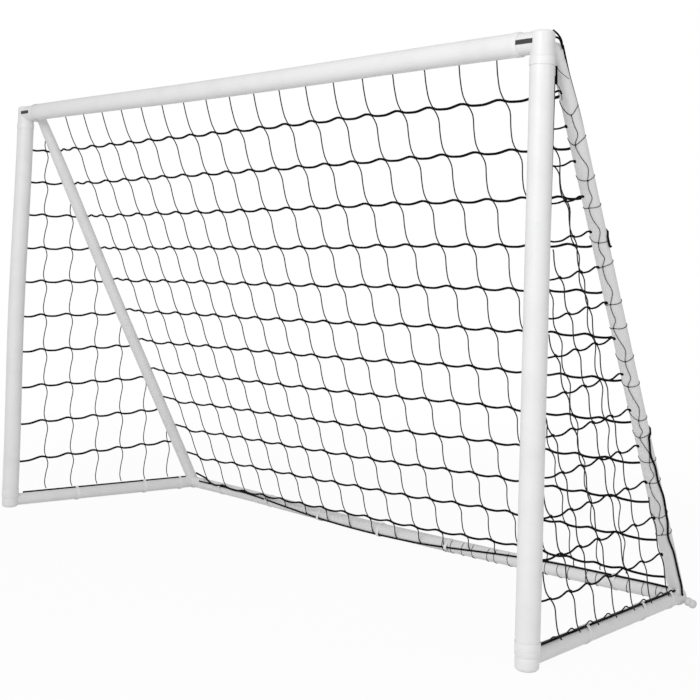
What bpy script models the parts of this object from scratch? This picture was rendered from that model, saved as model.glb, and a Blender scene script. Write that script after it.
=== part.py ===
# Inflatable football goal: eight air tubes on six moulded corner pieces, with a net of three
# panels laced outside the frame. Metres, +Z up, the mouth faces -Y.
# The frame is laid out from a point on the ground midway between the posts, and the whole
# goal is then set over the origin by the middle of its footprint.

import math

import bmesh
import bpy
from mathutils import Matrix, Vector

# Frame sizes

MOUTH_WIDTH = 2.44
MOUTH_HEIGHT = 1.524
GOAL_DEPTH = 0.857
REAR_INSET = 0.0675
MAIN_TUBE_DIAMETER = 0.065
SMALL_TUBE_DIAMETER = 0.045
TUBE_WALL = 0.0025
SEAT_GAP = 0.0003
GROUND_CLEARANCE = 0.0035
CROSSBAR_SAG = 0.005
REAR_TUBE_BOW = 0.045
LEFT_POST_BOW = 0.013
STRAIGHT_SHARE = 1.2

# Corner pieces

SPIGOT_LENGTH = 0.055
AIRWAY_WALL = 0.008
AIRWAY_OVERRUN = 0.010
EDGE_ROUNDING = 0.010
BODY_STEP = 0.001
TOP_CAP_RISE = 0.032
POST_SHOULDER_DROP = 0.040
CROSSBAR_SHOULDER = 0.070
ARM_STEP = 0.002
ELBOW_SETBACK = 0.050
ELBOW_DROP = 0.012
BRACE_TUBE_START = 0.030
ELBOW_SWELL = 0.0008
BRACE_NECK_STEP = 0.0025
BRACE_NECK_LENGTH = 0.060
CAP_STEP = 0.0017
CAP_HEIGHT = 0.034
GROOVE_HEIGHT = 0.002
GROOVE_DEPTH = 0.001
COLLAR_SWELL = 0.0013
COLLAR_LAP = 0.0058
COLLAR_CHAMFER = 0.003
HUB_SWELL = 0.0045
REAR_TUBE_START = 0.045
BASE_TUBE_CLEARANCE = 0.001
GROUND_CUTTER = 0.2

# Clamp rings on the ends of the main tubes

CLAMP_WIDTH = 0.019
CLAMP_WALL = 0.0014
CLAMP_EDGE_SHARE = 0.7
TUBE_PAST_CLAMP = 0.001

# Plain patches on the crossbar's corner arms

PATCH_START = 0.011
PATCH_LENGTH = 0.046
PATCH_HEIGHT = 0.014
PATCH_THICKNESS = 0.0005

# Net, ropes and straps

ROPE_DIAMETER = 0.006
STRAND = 0.0036
MESH_WIDTH = 0.1345
MESH_NARROWING = 0.0011
MESH_HEIGHT = 0.1437
FIRST_COLUMN = 0.148
FIRST_ROW = 0.157
NET_STANDOFF = 0.0285
NET_WRAP = 0.185
SIDE_NET_TOP_DROP = 0.045
SIDE_NET_BASE_SHARE = 0.8
LEAST_MESH_SHARE = 0.5
MERGE_SHARE = 0.25

# Side panels: a panel's meshes widen towards the rear and shorten towards the top; its
# columns lean forward as they rise, and its rows lift towards the brace

LEFT_MESH_WIDTH = 0.119
LEFT_MESH_WIDENING = 0
LEFT_MESH_HEIGHT = 0.149
LEFT_MESH_SHORTENING = 0.0026
LEFT_FIRST_COLUMN = 0.136
LEFT_FIRST_ROW = 0.119
LEFT_LEAN = 0.04
LEFT_ROW_LIFT = 0.036
LEFT_ROW_SPREAD = 0
RIGHT_MESH_WIDTH = 0.092
RIGHT_MESH_WIDENING = 0.0038
RIGHT_MESH_HEIGHT = 0.103
RIGHT_MESH_SHORTENING = 0.0009
RIGHT_FIRST_COLUMN = 0.093
RIGHT_FIRST_ROW = 0.106
RIGHT_LEAN = 0.47
RIGHT_ROW_LIFT = 0.009
RIGHT_ROW_SPREAD = 0.172

# Border ropes and straps

ROPE_TUBE_END = 0.022
REAR_ROPE_LEAN = math.radians(58)
REAR_ROPE_SLIP = math.radians(72)
REAR_SLIP_START = -0.95
REAR_SLIP_LENGTH = 1.8
REAR_ROPE_PARTS = 3
STRAP_WIDTH = 0.012
STRAP_THICKNESS = 0.0012
STRAP_SLACK = 0.001
STRAP_SPREAD = math.radians(25.5)
FIRST_BASE_STRAP = 0.307
BASE_STRAP_SPACING = 0.318
LAST_STRAP_SETBACK = 0.057
REAR_STRAP_SPACING = 0.325
REAR_STRAP_MARGIN = 0.1

# Air valve on the right rear corner

VALVE_DROOP = math.radians(15)
STEM_RADIUS = 0.0070
STEM_DEPTH = 0.018
FLANGE_RADIUS = 0.010
FLANGE_THICKNESS = 0.0025
NECK_LENGTH = 0.0175
CHAMBER_RADIUS = 0.0042
LIP_RADIUS = 0.0026
LIP_THICKNESS = 0.004
SEAT_HOLE_RADIUS = 0.0022
SEAT_THICKNESS = 0.002
MOUTH_DEPTH = 0.006
MOUTH_RADIUS = 0.0035
POPPET_RADIUS = 0.0034
PIN_RADIUS = 0.0012
SEAL_THICKNESS = 0.0017
DISC_THICKNESS = 0.0017
SPRING_COIL_RADIUS = 0.0030
SPRING_WIRE = 0.0007
SPRING_TURNS = 5
PIN_BELOW_MOUTH = 0.0015
PIN_ABOVE_LIP = 0.003
CAP_RADIUS = 0.0095
CAP_CLEARANCE = 0.0005
CAP_ABOVE_FLANGE = 0.001
CAP_END = 0.0075
CAP_ROUNDING_SHARE = 0.6
CAP_GASKET = 0.0017

# Faces round each kind of piece

MAIN_SIDES = 18
SMALL_SIDES = 16
TURNED_STEPS = 18
VALVE_STEPS = 16
AIRWAY_SIDES = 12
STRAP_SIDES = 16
ROPE_SIDES = 6
BALL_RINGS = 8
ARC_STEPS = 3
BEND_SEGMENTS = 6
SPRING_STEPS = 8

UP = Vector((0, 0, 1))
BACK = Vector((0, 1, 0))

# Sizes worked out from those above

mainRadius = MAIN_TUBE_DIAMETER / 2
smallRadius = SMALL_TUBE_DIAMETER / 2
ropeRadius = ROPE_DIAMETER / 2
halfWidth = (MOUTH_WIDTH + MAIN_TUBE_DIAMETER) / 2
rearHalfWidth = halfWidth - REAR_INSET
crossbarHeight = MOUTH_HEIGHT + mainRadius
baseHeight = smallRadius + GROUND_CLEARANCE
clampBore = (mainRadius + SEAT_GAP) / math.cos(math.pi / TURNED_STEPS)
clampRadius = clampBore + CLAMP_WALL
smallFlats = smallRadius * math.cos(math.pi / SMALL_SIDES)
mainSpigot = mainRadius * math.cos(math.pi / MAIN_SIDES) - TUBE_WALL - SEAT_GAP
smallSpigot = smallFlats - TUBE_WALL - SEAT_GAP
neckRadius = smallRadius - BRACE_NECK_STEP
braceSpigot = neckRadius * math.cos(math.pi / SMALL_SIDES) - TUBE_WALL - SEAT_GAP
collarTop = baseHeight + smallSpigot + COLLAR_LAP
baseTubeStart = clampRadius + BASE_TUBE_CLEARANCE
hubRadius = smallRadius + HUB_SWELL


def clearScene():
    for thing in list(bpy.data.objects):
        bpy.data.objects.remove(thing)


def newCollection(name):
    collection = bpy.data.collections.new(name)
    bpy.context.scene.collection.children.link(collection)
    return collection


def newMaterial(name, colour, roughness):
    material = bpy.data.materials.new(name)
    material.use_nodes = True
    shader = material.node_tree.nodes["Principled BSDF"]
    shader.inputs["Base Color"].default_value = (*colour, 1)
    shader.inputs["Roughness"].default_value = roughness
    shader.inputs["Metallic"].default_value = 0
    material.diffuse_color = (*colour, 1)
    return material


clearScene()
goal = newCollection("inflatable_goal")
cutters = newCollection("cutters")
middle = bpy.data.objects.new("goal_middle", None)
goal.objects.link(middle)

tubeSkin = newMaterial("tube_skin", (0.86, 0.86, 0.86), 0.42)
cornerPlastic = newMaterial("corner_plastic", (0.88, 0.88, 0.88), 0.38)
clampPlastic = newMaterial("clamp_plastic", (0.90, 0.90, 0.90), 0.35)
patchPlastic = newMaterial("patch_plastic", (0.06, 0.06, 0.065), 0.5)
netTwine = newMaterial("net_twine", (0.012, 0.012, 0.013), 0.75)
ropeCord = newMaterial("rope_cord", (0.010, 0.010, 0.011), 0.8)
strapWeb = newMaterial("strap_web", (0.90, 0.90, 0.89), 0.8)
valvePlastic = newMaterial("valve_plastic", (0.80, 0.80, 0.80), 0.3)
sealRubber = newMaterial("seal_rubber", (0.03, 0.03, 0.03), 0.7)
springSteel = newMaterial("spring_steel", (0.60, 0.60, 0.62), 0.3)
springSteel.node_tree.nodes["Principled BSDF"].inputs["Metallic"].default_value = 1


def setDown(thing, position, direction=UP):
    thing.parent = middle
    thing.location = position
    thing.rotation_mode = "XYZ"
    thing.rotation_euler = UP.rotation_difference(Vector(direction)).to_euler()


def addPiece(name, data, material, position=(0, 0, 0), direction=UP):
    piece = bpy.data.objects.new(name, data)
    goal.objects.link(piece)
    data.materials.append(material)
    setDown(piece, position, direction)
    return piece


def addHelper(name, mesh, position, direction=UP):
    helper = bpy.data.objects.new(name, mesh)
    cutters.objects.link(helper)
    helper.hide_render = True
    helper.display_type = "WIRE"
    setDown(helper, position, direction)
    return helper


def rod(name, start, end, radius, sides=MAIN_SIDES):
    # A cylinder between two points, for joining or cutting
    start = Vector(start)
    end = Vector(end)
    shape = bmesh.new()
    bmesh.ops.create_cone(shape, cap_ends=True, segments=sides, radius1=radius,
                          radius2=radius, depth=(end - start).length)
    mesh = bpy.data.meshes.new(name)
    shape.to_mesh(mesh)
    shape.free()
    return addHelper(name, mesh, (start + end) / 2, end - start)


def ball(name, centre, radius):
    shape = bmesh.new()
    bmesh.ops.create_uvsphere(shape, u_segments=SMALL_SIDES, v_segments=BALL_RINGS,
                              radius=radius)
    mesh = bpy.data.meshes.new(name)
    shape.to_mesh(mesh)
    shape.free()
    return addHelper(name, mesh, centre)


def block(name, centre, size):
    shape = bmesh.new()
    bmesh.ops.create_cube(shape, size=size)
    mesh = bpy.data.meshes.new(name)
    shape.to_mesh(mesh)
    shape.free()
    return addHelper(name, mesh, centre)


def boolean(piece, other, operation):
    step = piece.modifiers.new(other.name, "BOOLEAN")
    step.operation = operation
    step.object = other


def turnedMesh(name, profile):
    # The profile is a list of (radius, height); it is closed into a ring where it goes round
    # a wall that never reaches the axis
    points = [(radius, 0, height) for radius, height in profile]
    edges = [(i, i + 1) for i in range(len(points) - 1)]
    if len(points) > 2 and profile[0][0] > 0:
        edges.append((len(points) - 1, 0))
    mesh = bpy.data.meshes.new(name)
    mesh.from_pydata(points, edges, [])
    return mesh


def addScrew(piece, angle=2 * math.pi, steps=TURNED_STEPS):
    screw = piece.modifiers.new("turned", "SCREW")
    screw.axis = "Z"
    screw.angle = angle
    screw.steps = steps
    screw.render_steps = steps
    screw.use_merge_vertices = True
    screw.merge_threshold = 0.00001
    screw.use_smooth_shade = True


def turned(name, profile, material, position=(0, 0, 0), direction=UP, steps=TURNED_STEPS):
    piece = addPiece(name, turnedMesh(name, profile), material, position, direction)
    addScrew(piece, steps=steps)
    return piece


def arc(centreRadius, centreHeight, radius, startAngle, endAngle):
    # Profile points along a quarter round, angles in degrees from the outward direction
    points = []
    for i in range(ARC_STEPS + 1):
        angle = math.radians(startAngle + (endAngle - startAngle) * i / ARC_STEPS)
        points.append((centreRadius + radius * math.cos(angle),
                       centreHeight + radius * math.sin(angle)))
    return points


def bow(share):
    # A smooth bow from 0 at both ends to 1 in the middle
    return math.sin(math.pi * min(max(share, 0), 1)) ** 2


def bowedRoute(start, end, offset):
    # From start to end with a straight run over the spigot at each end and a bow between
    start = Vector(start)
    end = Vector(end)
    length = (end - start).length
    straight = SPIGOT_LENGTH * STRAIGHT_SHARE
    route = [start]
    for i in range(BEND_SEGMENTS + 1):
        run = straight + (length - 2 * straight) * i / BEND_SEGMENTS
        route.append(start.lerp(end, run / length) + Vector(offset) * bow(i / BEND_SEGMENTS))
    route.append(end)
    return route


def curveData(name, route, radius, sides, caps, radii=None):
    curve = bpy.data.curves.new(name, "CURVE")
    curve.dimensions = "3D"
    curve.bevel_depth = radius
    curve.bevel_resolution = (sides - 4) // 2
    curve.use_fill_caps = caps
    spline = curve.splines.new("POLY")
    spline.points.add(len(route) - 1)
    for point, place in zip(spline.points, route):
        point.co = (*place, 1)
    for point, share in zip(spline.points, radii or []):
        point.radius = share
    return curve


def tube(name, route, radius, sides, radii=None):
    # An air tube: an open skin along the route, thickened inwards
    local = [place - route[0] for place in route]
    curve = curveData(name, local, radius, sides, False, radii)
    piece = addPiece(name, curve, tubeSkin)
    piece.location = route[0]
    wall = piece.modifiers.new("wall", "SOLIDIFY")
    wall.thickness = TUBE_WALL
    wall.offset = -1
    wall.use_even_offset = True
    return piece


def rope(name, route):
    local = [place - route[0] for place in route]
    piece = addPiece(name, curveData(name, local, ropeRadius, ROPE_SIDES, True), ropeCord)
    piece.location = route[0]
    return piece


def sidePoint(side, run, height, out=0):
    # A point in the side frame: run is measured back from the post, out away from the goal
    along = Vector((-side * REAR_INSET, GOAL_DEPTH, 0)).normalized()
    outward = Vector((side * along.y, abs(along.x), 0))
    return Vector((side * halfWidth, 0, height)) + along * run + outward * out


sideLength = math.hypot(GOAL_DEPTH, REAR_INSET)


def elbowPoint(side):
    return sidePoint(side, ELBOW_SETBACK, crossbarHeight - ELBOW_DROP)


def rearPoint(side):
    return sidePoint(side, sideLength, baseHeight)


def braceDirection(side):
    return (rearPoint(side) - elbowPoint(side)).normalized()


def postRoute(side):
    lower = Vector((side * halfWidth, 0, collarTop + SEAT_GAP))
    upper = Vector((side * halfWidth, 0, crossbarHeight - POST_SHOULDER_DROP - SEAT_GAP))
    if side > 0:
        return [lower, upper]
    return bowedRoute(lower, upper, (-LEFT_POST_BOW, 0, 0))


def crossbarRoute():
    reach = halfWidth - CROSSBAR_SHOULDER - SEAT_GAP
    return bowedRoute((-reach, 0, crossbarHeight), (reach, 0, crossbarHeight), (0, 0, -CROSSBAR_SAG))


def rearRoute():
    reach = rearHalfWidth - REAR_TUBE_START - SEAT_GAP
    return bowedRoute((-reach, GOAL_DEPTH, baseHeight), (reach, GOAL_DEPTH, baseHeight),
                      (0, -REAR_TUBE_BOW, 0))


def baseRoute(side):
    return [sidePoint(side, baseTubeStart, baseHeight),
            sidePoint(side, sideLength - REAR_TUBE_START - SEAT_GAP, baseHeight)]


def braceRoute(side):
    start = elbowPoint(side) + braceDirection(side) * BRACE_TUBE_START
    end = rearPoint(side) - braceDirection(side) * (REAR_TUBE_START + SEAT_GAP)
    return [start, start.lerp(end, BRACE_NECK_LENGTH / (end - start).length), end]


# Air tubes

for side, word in ((-1, "left"), (1, "right")):
    tube(word + "_post", postRoute(side), mainRadius, MAIN_SIDES)
    tube(word + "_brace", braceRoute(side), smallRadius, SMALL_SIDES,
         [neckRadius / smallRadius, 1, 1])
    tube(word + "_base_tube", baseRoute(side), smallRadius, SMALL_SIDES)
tube("crossbar", crossbarRoute(), mainRadius, MAIN_SIDES)
tube("rear_base_tube", rearRoute(), smallRadius, SMALL_SIDES)


def airway(piece, name, start, end, spigotRadius):
    boolean(piece, rod(name, start, end, spigotRadius - AIRWAY_WALL, AIRWAY_SIDES), "DIFFERENCE")


def topCorner(side, word):
    # The post's cap and spigot in one turned body, with an arm for the crossbar and an
    # elbow for the brace
    bodyRadius = mainRadius - BODY_STEP
    top = TOP_CAP_RISE
    profile = [(0, top)]
    profile += arc(bodyRadius - EDGE_ROUNDING, top - EDGE_ROUNDING, EDGE_ROUNDING, 90, 0)
    profile += [(bodyRadius, -POST_SHOULDER_DROP), (mainSpigot, -POST_SHOULDER_DROP),
                (mainSpigot, -POST_SHOULDER_DROP - SPIGOT_LENGTH),
                (0, -POST_SHOULDER_DROP - SPIGOT_LENGTH)]
    axis = Vector((side * halfWidth, 0, crossbarHeight))
    inward = Vector((-side, 0, 0))
    corner = turned(word + "_top_corner", profile, cornerPlastic, axis)
    shoulder = axis + inward * CROSSBAR_SHOULDER
    elbow = elbowPoint(side)
    level = Vector((axis.x, 0, elbow.z))
    armEnd = elbow + braceDirection(side) * (BRACE_TUBE_START + SPIGOT_LENGTH)
    boolean(corner, rod(word + "_crossbar_arm", axis, shoulder, mainRadius - ARM_STEP), "UNION")
    boolean(corner, rod(word + "_crossbar_spigot", axis, shoulder + inward * SPIGOT_LENGTH,
                        mainSpigot), "UNION")
    boolean(corner, rod(word + "_brace_stub", level, elbow, braceSpigot), "UNION")
    boolean(corner, ball(word + "_brace_elbow", elbow, braceSpigot + ELBOW_SWELL), "UNION")
    boolean(corner, rod(word + "_brace_arm", elbow, armEnd, braceSpigot), "UNION")
    past = SPIGOT_LENGTH + AIRWAY_OVERRUN
    airway(corner, word + "_post_airway", axis,
           axis - UP * (POST_SHOULDER_DROP + past), mainSpigot)
    airway(corner, word + "_crossbar_airway", axis, shoulder + inward * past, mainSpigot)
    airway(corner, word + "_stub_airway", level, elbow, braceSpigot)
    airway(corner, word + "_brace_airway", elbow,
           armEnd + braceDirection(side) * AIRWAY_OVERRUN, braceSpigot)


def foot(side, word):
    # A round cap on the ground, a swollen collar above a groove, and the post's spigot
    capRadius = mainRadius - CAP_STEP
    collarRadius = mainRadius + COLLAR_SWELL
    grooveTop = CAP_HEIGHT + GROOVE_HEIGHT
    profile = [(0, collarTop + SPIGOT_LENGTH), (mainSpigot, collarTop + SPIGOT_LENGTH),
               (mainSpigot, collarTop), (collarRadius, collarTop),
               (collarRadius, grooveTop + COLLAR_CHAMFER), (capRadius, grooveTop),
               (capRadius - GROOVE_DEPTH, grooveTop - GROOVE_HEIGHT / 2), (capRadius, CAP_HEIGHT)]
    profile += arc(capRadius - EDGE_ROUNDING, EDGE_ROUNDING, EDGE_ROUNDING, 0, -90)
    profile += [(0, 0)]
    axis = Vector((side * halfWidth, 0, 0))
    corner = turned(word + "_foot", profile, cornerPlastic, axis)
    start = sidePoint(side, 0, baseHeight)
    end = sidePoint(side, baseTubeStart + SPIGOT_LENGTH, baseHeight)
    boolean(corner, rod(word + "_base_spigot", start, end, smallSpigot), "UNION")
    airway(corner, word + "_foot_airway", start,
           axis + UP * (collarTop + SPIGOT_LENGTH + AIRWAY_OVERRUN), mainSpigot)
    airway(corner, word + "_base_airway", start,
           end + (end - start).normalized() * AIRWAY_OVERRUN, smallSpigot)


def rearCorner(side, word):
    # A round hub that stands flat on the ground, with a shouldered arm for each small tube
    hub = rearPoint(side)
    shape = bmesh.new()
    bmesh.ops.create_uvsphere(shape, u_segments=TURNED_STEPS, v_segments=TURNED_STEPS // 2,
                              radius=hubRadius)
    mesh = bpy.data.meshes.new(word + "_rear_corner")
    shape.to_mesh(mesh)
    shape.free()
    mesh.shade_smooth()
    corner = addPiece(word + "_rear_corner", mesh, cornerPlastic, hub)
    arms = (("brace", -braceDirection(side)),
            ("base", (sidePoint(side, 0, baseHeight) - hub).normalized()),
            ("rear", Vector((-side, 0, 0))))
    for arm, direction in arms:
        shoulder = hub + direction * REAR_TUBE_START
        boolean(corner, rod(f"{word}_{arm}_shoulder", hub, shoulder, smallRadius - SEAT_GAP),
                "UNION")
    for arm, direction in arms:
        end = hub + direction * (REAR_TUBE_START + SPIGOT_LENGTH)
        boolean(corner, rod(f"{word}_{arm}_end", hub, end, smallSpigot), "UNION")
    for arm, direction in arms:
        end = hub + direction * (REAR_TUBE_START + SPIGOT_LENGTH + AIRWAY_OVERRUN)
        airway(corner, f"{word}_{arm}_end_airway", hub, end, smallSpigot)
    if side > 0:
        boolean(corner, rod("valve_socket", hub, hub + valveAxis * (hubRadius + AIRWAY_OVERRUN),
                            STEM_RADIUS + SEAT_GAP), "DIFFERENCE")
    boolean(corner, block(word + "_ground", (hub.x, hub.y, -GROUND_CUTTER / 2), GROUND_CUTTER),
            "DIFFERENCE")


valveAxis = Vector((math.cos(VALVE_DROOP), 0, -math.sin(VALVE_DROOP)))

for side, word in ((-1, "left"), (1, "right")):
    topCorner(side, word)
    foot(side, word)
    rearCorner(side, word)


# Clamp rings

def clamp(name, tubeEnd, direction):
    # A ring with rounded edges round the last stretch of a main tube
    edge = CLAMP_WALL * CLAMP_EDGE_SHARE
    profile = [(clampRadius - edge, CLAMP_WIDTH), (clampRadius, CLAMP_WIDTH - edge),
               (clampRadius, edge), (clampRadius - edge, 0), (clampBore, 0),
               (clampBore, CLAMP_WIDTH)]
    turned(name, profile, clampPlastic, tubeEnd + direction * TUBE_PAST_CLAMP, direction)


for side, word in ((-1, "left"), (1, "right")):
    post = postRoute(side)
    clamp(word + "_post_top_clamp", post[-1], -UP)
    clamp(word + "_post_foot_clamp", post[0], UP)
    inward = Vector((-side, 0, 0))
    crossbarEnd = Vector((side * (halfWidth - CROSSBAR_SHOULDER - SEAT_GAP), 0, crossbarHeight))
    clamp(word + "_crossbar_clamp", crossbarEnd, inward)


# Plain patches, bent round the front of the crossbar's arms

for side, word in ((-1, "left"), (1, "right")):
    patchRadius = mainRadius - ARM_STEP + SEAT_GAP
    sweep = PATCH_HEIGHT / patchRadius
    mesh = turnedMesh(word + "_patch", [(patchRadius, PATCH_LENGTH), (patchRadius, 0)])
    near = halfWidth - PATCH_START
    start = near - PATCH_LENGTH if side > 0 else -near
    patch = addPiece(word + "_patch", mesh, patchPlastic, (start, 0, crossbarHeight))
    upperEdge = Vector((0, -math.cos(sweep / 2), math.sin(sweep / 2)))
    across = Vector((1, 0, 0))
    turn = Matrix((upperEdge, across.cross(upperEdge), across)).transposed()
    patch.rotation_euler = turn.to_euler()
    addScrew(patch, sweep, ARC_STEPS)
    sheet = patch.modifiers.new("thickness", "SOLIDIFY")
    sheet.thickness = PATCH_THICKNESS
    sheet.offset = 1

# Ropes, each seated along the outside of its tube

ropeSeat = ropeRadius + SEAT_GAP
ropeOut = NET_STANDOFF - STRAND / 2 - SEAT_GAP - ropeRadius
clampPast = CLAMP_WIDTH + TUBE_PAST_CLAMP + ROPE_TUBE_END


def trimmed(route, cut):
    # The route with the same bends, shortened by a length at each end
    start = route[0] + (route[1] - route[0]).normalized() * cut
    end = route[-1] + (route[-2] - route[-1]).normalized() * cut
    return [start] + route[1:-1] + [end]


def shifted(route, offset):
    return [place + offset for place in route]


def sideways(side, radius):
    # Out and back from a tube's axis to a rope that lies on it just inside the side net
    return ropeOut, math.sqrt((radius + ropeSeat) ** 2 - ropeOut ** 2)


def placeOnRoute(route, x):
    # The point of a route at x, and the direction of the route there
    for first, second in zip(route, route[1:]):
        if x <= second.x:
            break
    return first.lerp(second, (x - first.x) / (second.x - first.x)), second - first


def towardsRearRope(x):
    # From the rear tube's axis to its rope, which has slipped down the tube's front between
    # the second strap and the last but one
    angle = REAR_ROPE_LEAN + REAR_ROPE_SLIP * bow((x - REAR_SLIP_START) / REAR_SLIP_LENGTH)
    return UP * math.cos(angle) - BACK * math.sin(angle)


def rearRopeRoute():
    # Bent wherever the tube is, and in between as it winds round the tube
    axis = trimmed(rearRoute(), ROPE_TUBE_END)
    places = [axis[0]]
    for first, second in zip(axis, axis[1:]):
        places += [first.lerp(second, i / REAR_ROPE_PARTS)
                   for i in range(1, REAR_ROPE_PARTS + 1)]
    return [place + towardsRearRope(place.x) * (smallRadius + ropeSeat) for place in places]


rope("net_top_rope", shifted(trimmed(crossbarRoute(), clampPast), BACK * (mainRadius + ropeSeat)))
rope("net_rear_rope", rearRopeRoute())
for side, word in ((-1, "left"), (1, "right")):
    outward = sidePoint(side, 0, 0, 1) - sidePoint(side, 0, 0)
    along = (sidePoint(side, 1, 0) - sidePoint(side, 0, 0))
    rearward = outward.cross(braceDirection(side)).normalized() * side
    out, back = sideways(side, mainRadius)
    rope(f"net_{word}_post_rope", shifted(trimmed(postRoute(side), clampPast),
                                          outward * out + along * back))
    out, back = sideways(side, smallFlats)
    rope(f"net_{word}_brace_rope", shifted(trimmed(braceRoute(side)[1:], ROPE_TUBE_END),
                                           outward * out + rearward * back))
    rope(f"net_{word}_base_rope", shifted(trimmed(baseRoute(side), ROPE_TUBE_END),
                                          outward * out + UP * back))

# Hook and loop straps, each round a tube and the rope on it

strapRadius = (smallRadius + SEAT_GAP) / math.cos(math.pi / STRAP_SIDES)
strapBulge = ROPE_DIAMETER + STRAP_SLACK


def strap(name, centre, along, towardsRope):
    # A band whose outline is the tube's circle with a smooth bulge over the rope
    along = along.normalized()
    across = along.cross(towardsRope).normalized()
    towardsRope = across.cross(along).normalized()
    band = bmesh.new()
    rings = []
    for end in (-STRAP_WIDTH / 2, STRAP_WIDTH / 2):
        ring = []
        for i in range(STRAP_SIDES):
            angle = 2 * math.pi * i / STRAP_SIDES
            turn = angle if angle <= math.pi else 2 * math.pi - angle
            radius = strapRadius + strapBulge * math.exp(-(turn / STRAP_SPREAD) ** 2)
            ring.append(band.verts.new(along * end + towardsRope * radius * math.cos(angle)
                                       + across * radius * math.sin(angle)))
        rings.append(ring)
    edges = []
    for ring in rings:
        for i in range(STRAP_SIDES):
            edges.append(band.edges.new((ring[i], ring[(i + 1) % STRAP_SIDES])))
    bmesh.ops.bridge_loops(band, edges=edges)
    bmesh.ops.recalc_face_normals(band, faces=band.faces)
    mesh = bpy.data.meshes.new(name)
    band.to_mesh(mesh)
    band.free()
    mesh.shade_smooth()
    piece = addPiece(name, mesh, strapWeb, centre)
    web = piece.modifiers.new("thickness", "SOLIDIFY")
    web.thickness = STRAP_THICKNESS
    web.offset = 1
    web.use_even_offset = True


for side, word in ((-1, "left"), (1, "right")):
    outward = sidePoint(side, 0, 0, 1) - sidePoint(side, 0, 0)
    along = sidePoint(side, 1, 0) - sidePoint(side, 0, 0)
    out, back = sideways(side, smallRadius)
    places = (FIRST_BASE_STRAP, FIRST_BASE_STRAP + BASE_STRAP_SPACING,
              sideLength - LAST_STRAP_SETBACK)
    for number, place in enumerate(places, 1):
        strap(f"{word}_base_strap_{number}", sidePoint(side, place, baseHeight), along,
              outward * out + UP * back)


rearSpan = 2 * (rearHalfWidth - REAR_TUBE_START - REAR_STRAP_MARGIN)
rearStraps = int(rearSpan / REAR_STRAP_SPACING) + 1
for number in range(rearStraps):
    x = (number - (rearStraps - 1) / 2) * REAR_STRAP_SPACING
    centre, along = placeOnRoute(rearRoute(), x)
    strap(f"rear_strap_{number + 1}", centre, along, towardsRearRope(x))

# Net panels: a sheet divided into meshes, then left as its strands

def divided(name, columns, rows, place):
    # A grid of columns by rows whose corner points are set by a rule
    sheet = bmesh.new()
    bmesh.ops.create_grid(sheet, x_segments=len(columns) - 1, y_segments=len(rows) - 1, size=0.5)
    for corner in sheet.verts:
        column = round((corner.co.x + 0.5) * (len(columns) - 1))
        row = round((corner.co.y + 0.5) * (len(rows) - 1))
        corner.co = place(columns[column], rows[row])
    return sheet


def strands(name, sheet):
    bmesh.ops.recalc_face_normals(sheet, faces=sheet.faces)
    mesh = bpy.data.meshes.new(name)
    sheet.to_mesh(mesh)
    sheet.free()
    piece = addPiece(name, mesh, netTwine)
    wires = piece.modifiers.new("strands", "WIREFRAME")
    wires.thickness = STRAND
    wires.use_even_offset = False
    wires.use_boundary = True
    wires.use_replace = True


def spaced(first, pitch, last, growth=0):
    # Places from first by pitch up to last, with no narrow mesh left before last
    places = [0.0]
    place = first
    while place < last - pitch * LEAST_MESH_SHARE:
        places.append(place)
        place += pitch
        pitch += growth
    return places + [last]


strapOutside = strapRadius + STRAP_THICKNESS
netTop = Vector((0, mainRadius + 2 * ropeSeat + STRAND / 2, crossbarHeight))
netBase = Vector((0, GOAL_DEPTH, baseHeight + strapOutside + SEAT_GAP + STRAND / 2))
rearFall = netBase - netTop
braceSlope = Vector((0, braceDirection(1).y, braceDirection(1).z)).normalized()
braceRear = Vector((0, -braceSlope.z, braceSlope.y))


def rearNetPoint(across, down):
    # Straight from the crossbar's rope to the straps on the rear tube, drawn behind the braces
    # near each side, with the sag and the bow of the tubes along its edges
    share = down / rearFall.length
    width = halfWidth - REAR_INSET * share
    x = (across / (2 * halfWidth) - 0.5) * 2 * width
    flat = netTop + rearFall * share
    elbow = Vector((0, elbowPoint(1).y, elbowPoint(1).z))
    behind = elbow + braceSlope * (flat - elbow).dot(braceSlope) + braceRear * NET_STANDOFF
    near = min((width - abs(x)) / NET_WRAP, 1)
    wrap = math.cos(math.pi / 2 * near) ** 2
    bend = bow(0.5 + x / (2 * width))
    place = flat.lerp(behind, wrap)
    place.x = x
    place.y -= REAR_TUBE_BOW * bend * share
    place.z -= CROSSBAR_SAG * bend * (1 - share)
    return place


acrossPlaces = spaced(FIRST_COLUMN, MESH_WIDTH, 2 * halfWidth, -MESH_NARROWING)
downPlaces = spaced(FIRST_ROW, MESH_HEIGHT, rearFall.length)
strands("net_rear", divided("net_rear", acrossPlaces, downPlaces, rearNetPoint))

sideBottom = baseHeight + ropeSeat + smallRadius * SIDE_NET_BASE_SHARE
sideTop = crossbarHeight - SIDE_NET_TOP_DROP
frontRun = sideways(1, mainRadius)[1]
rearRun = sideLength + smallRadius


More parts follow.
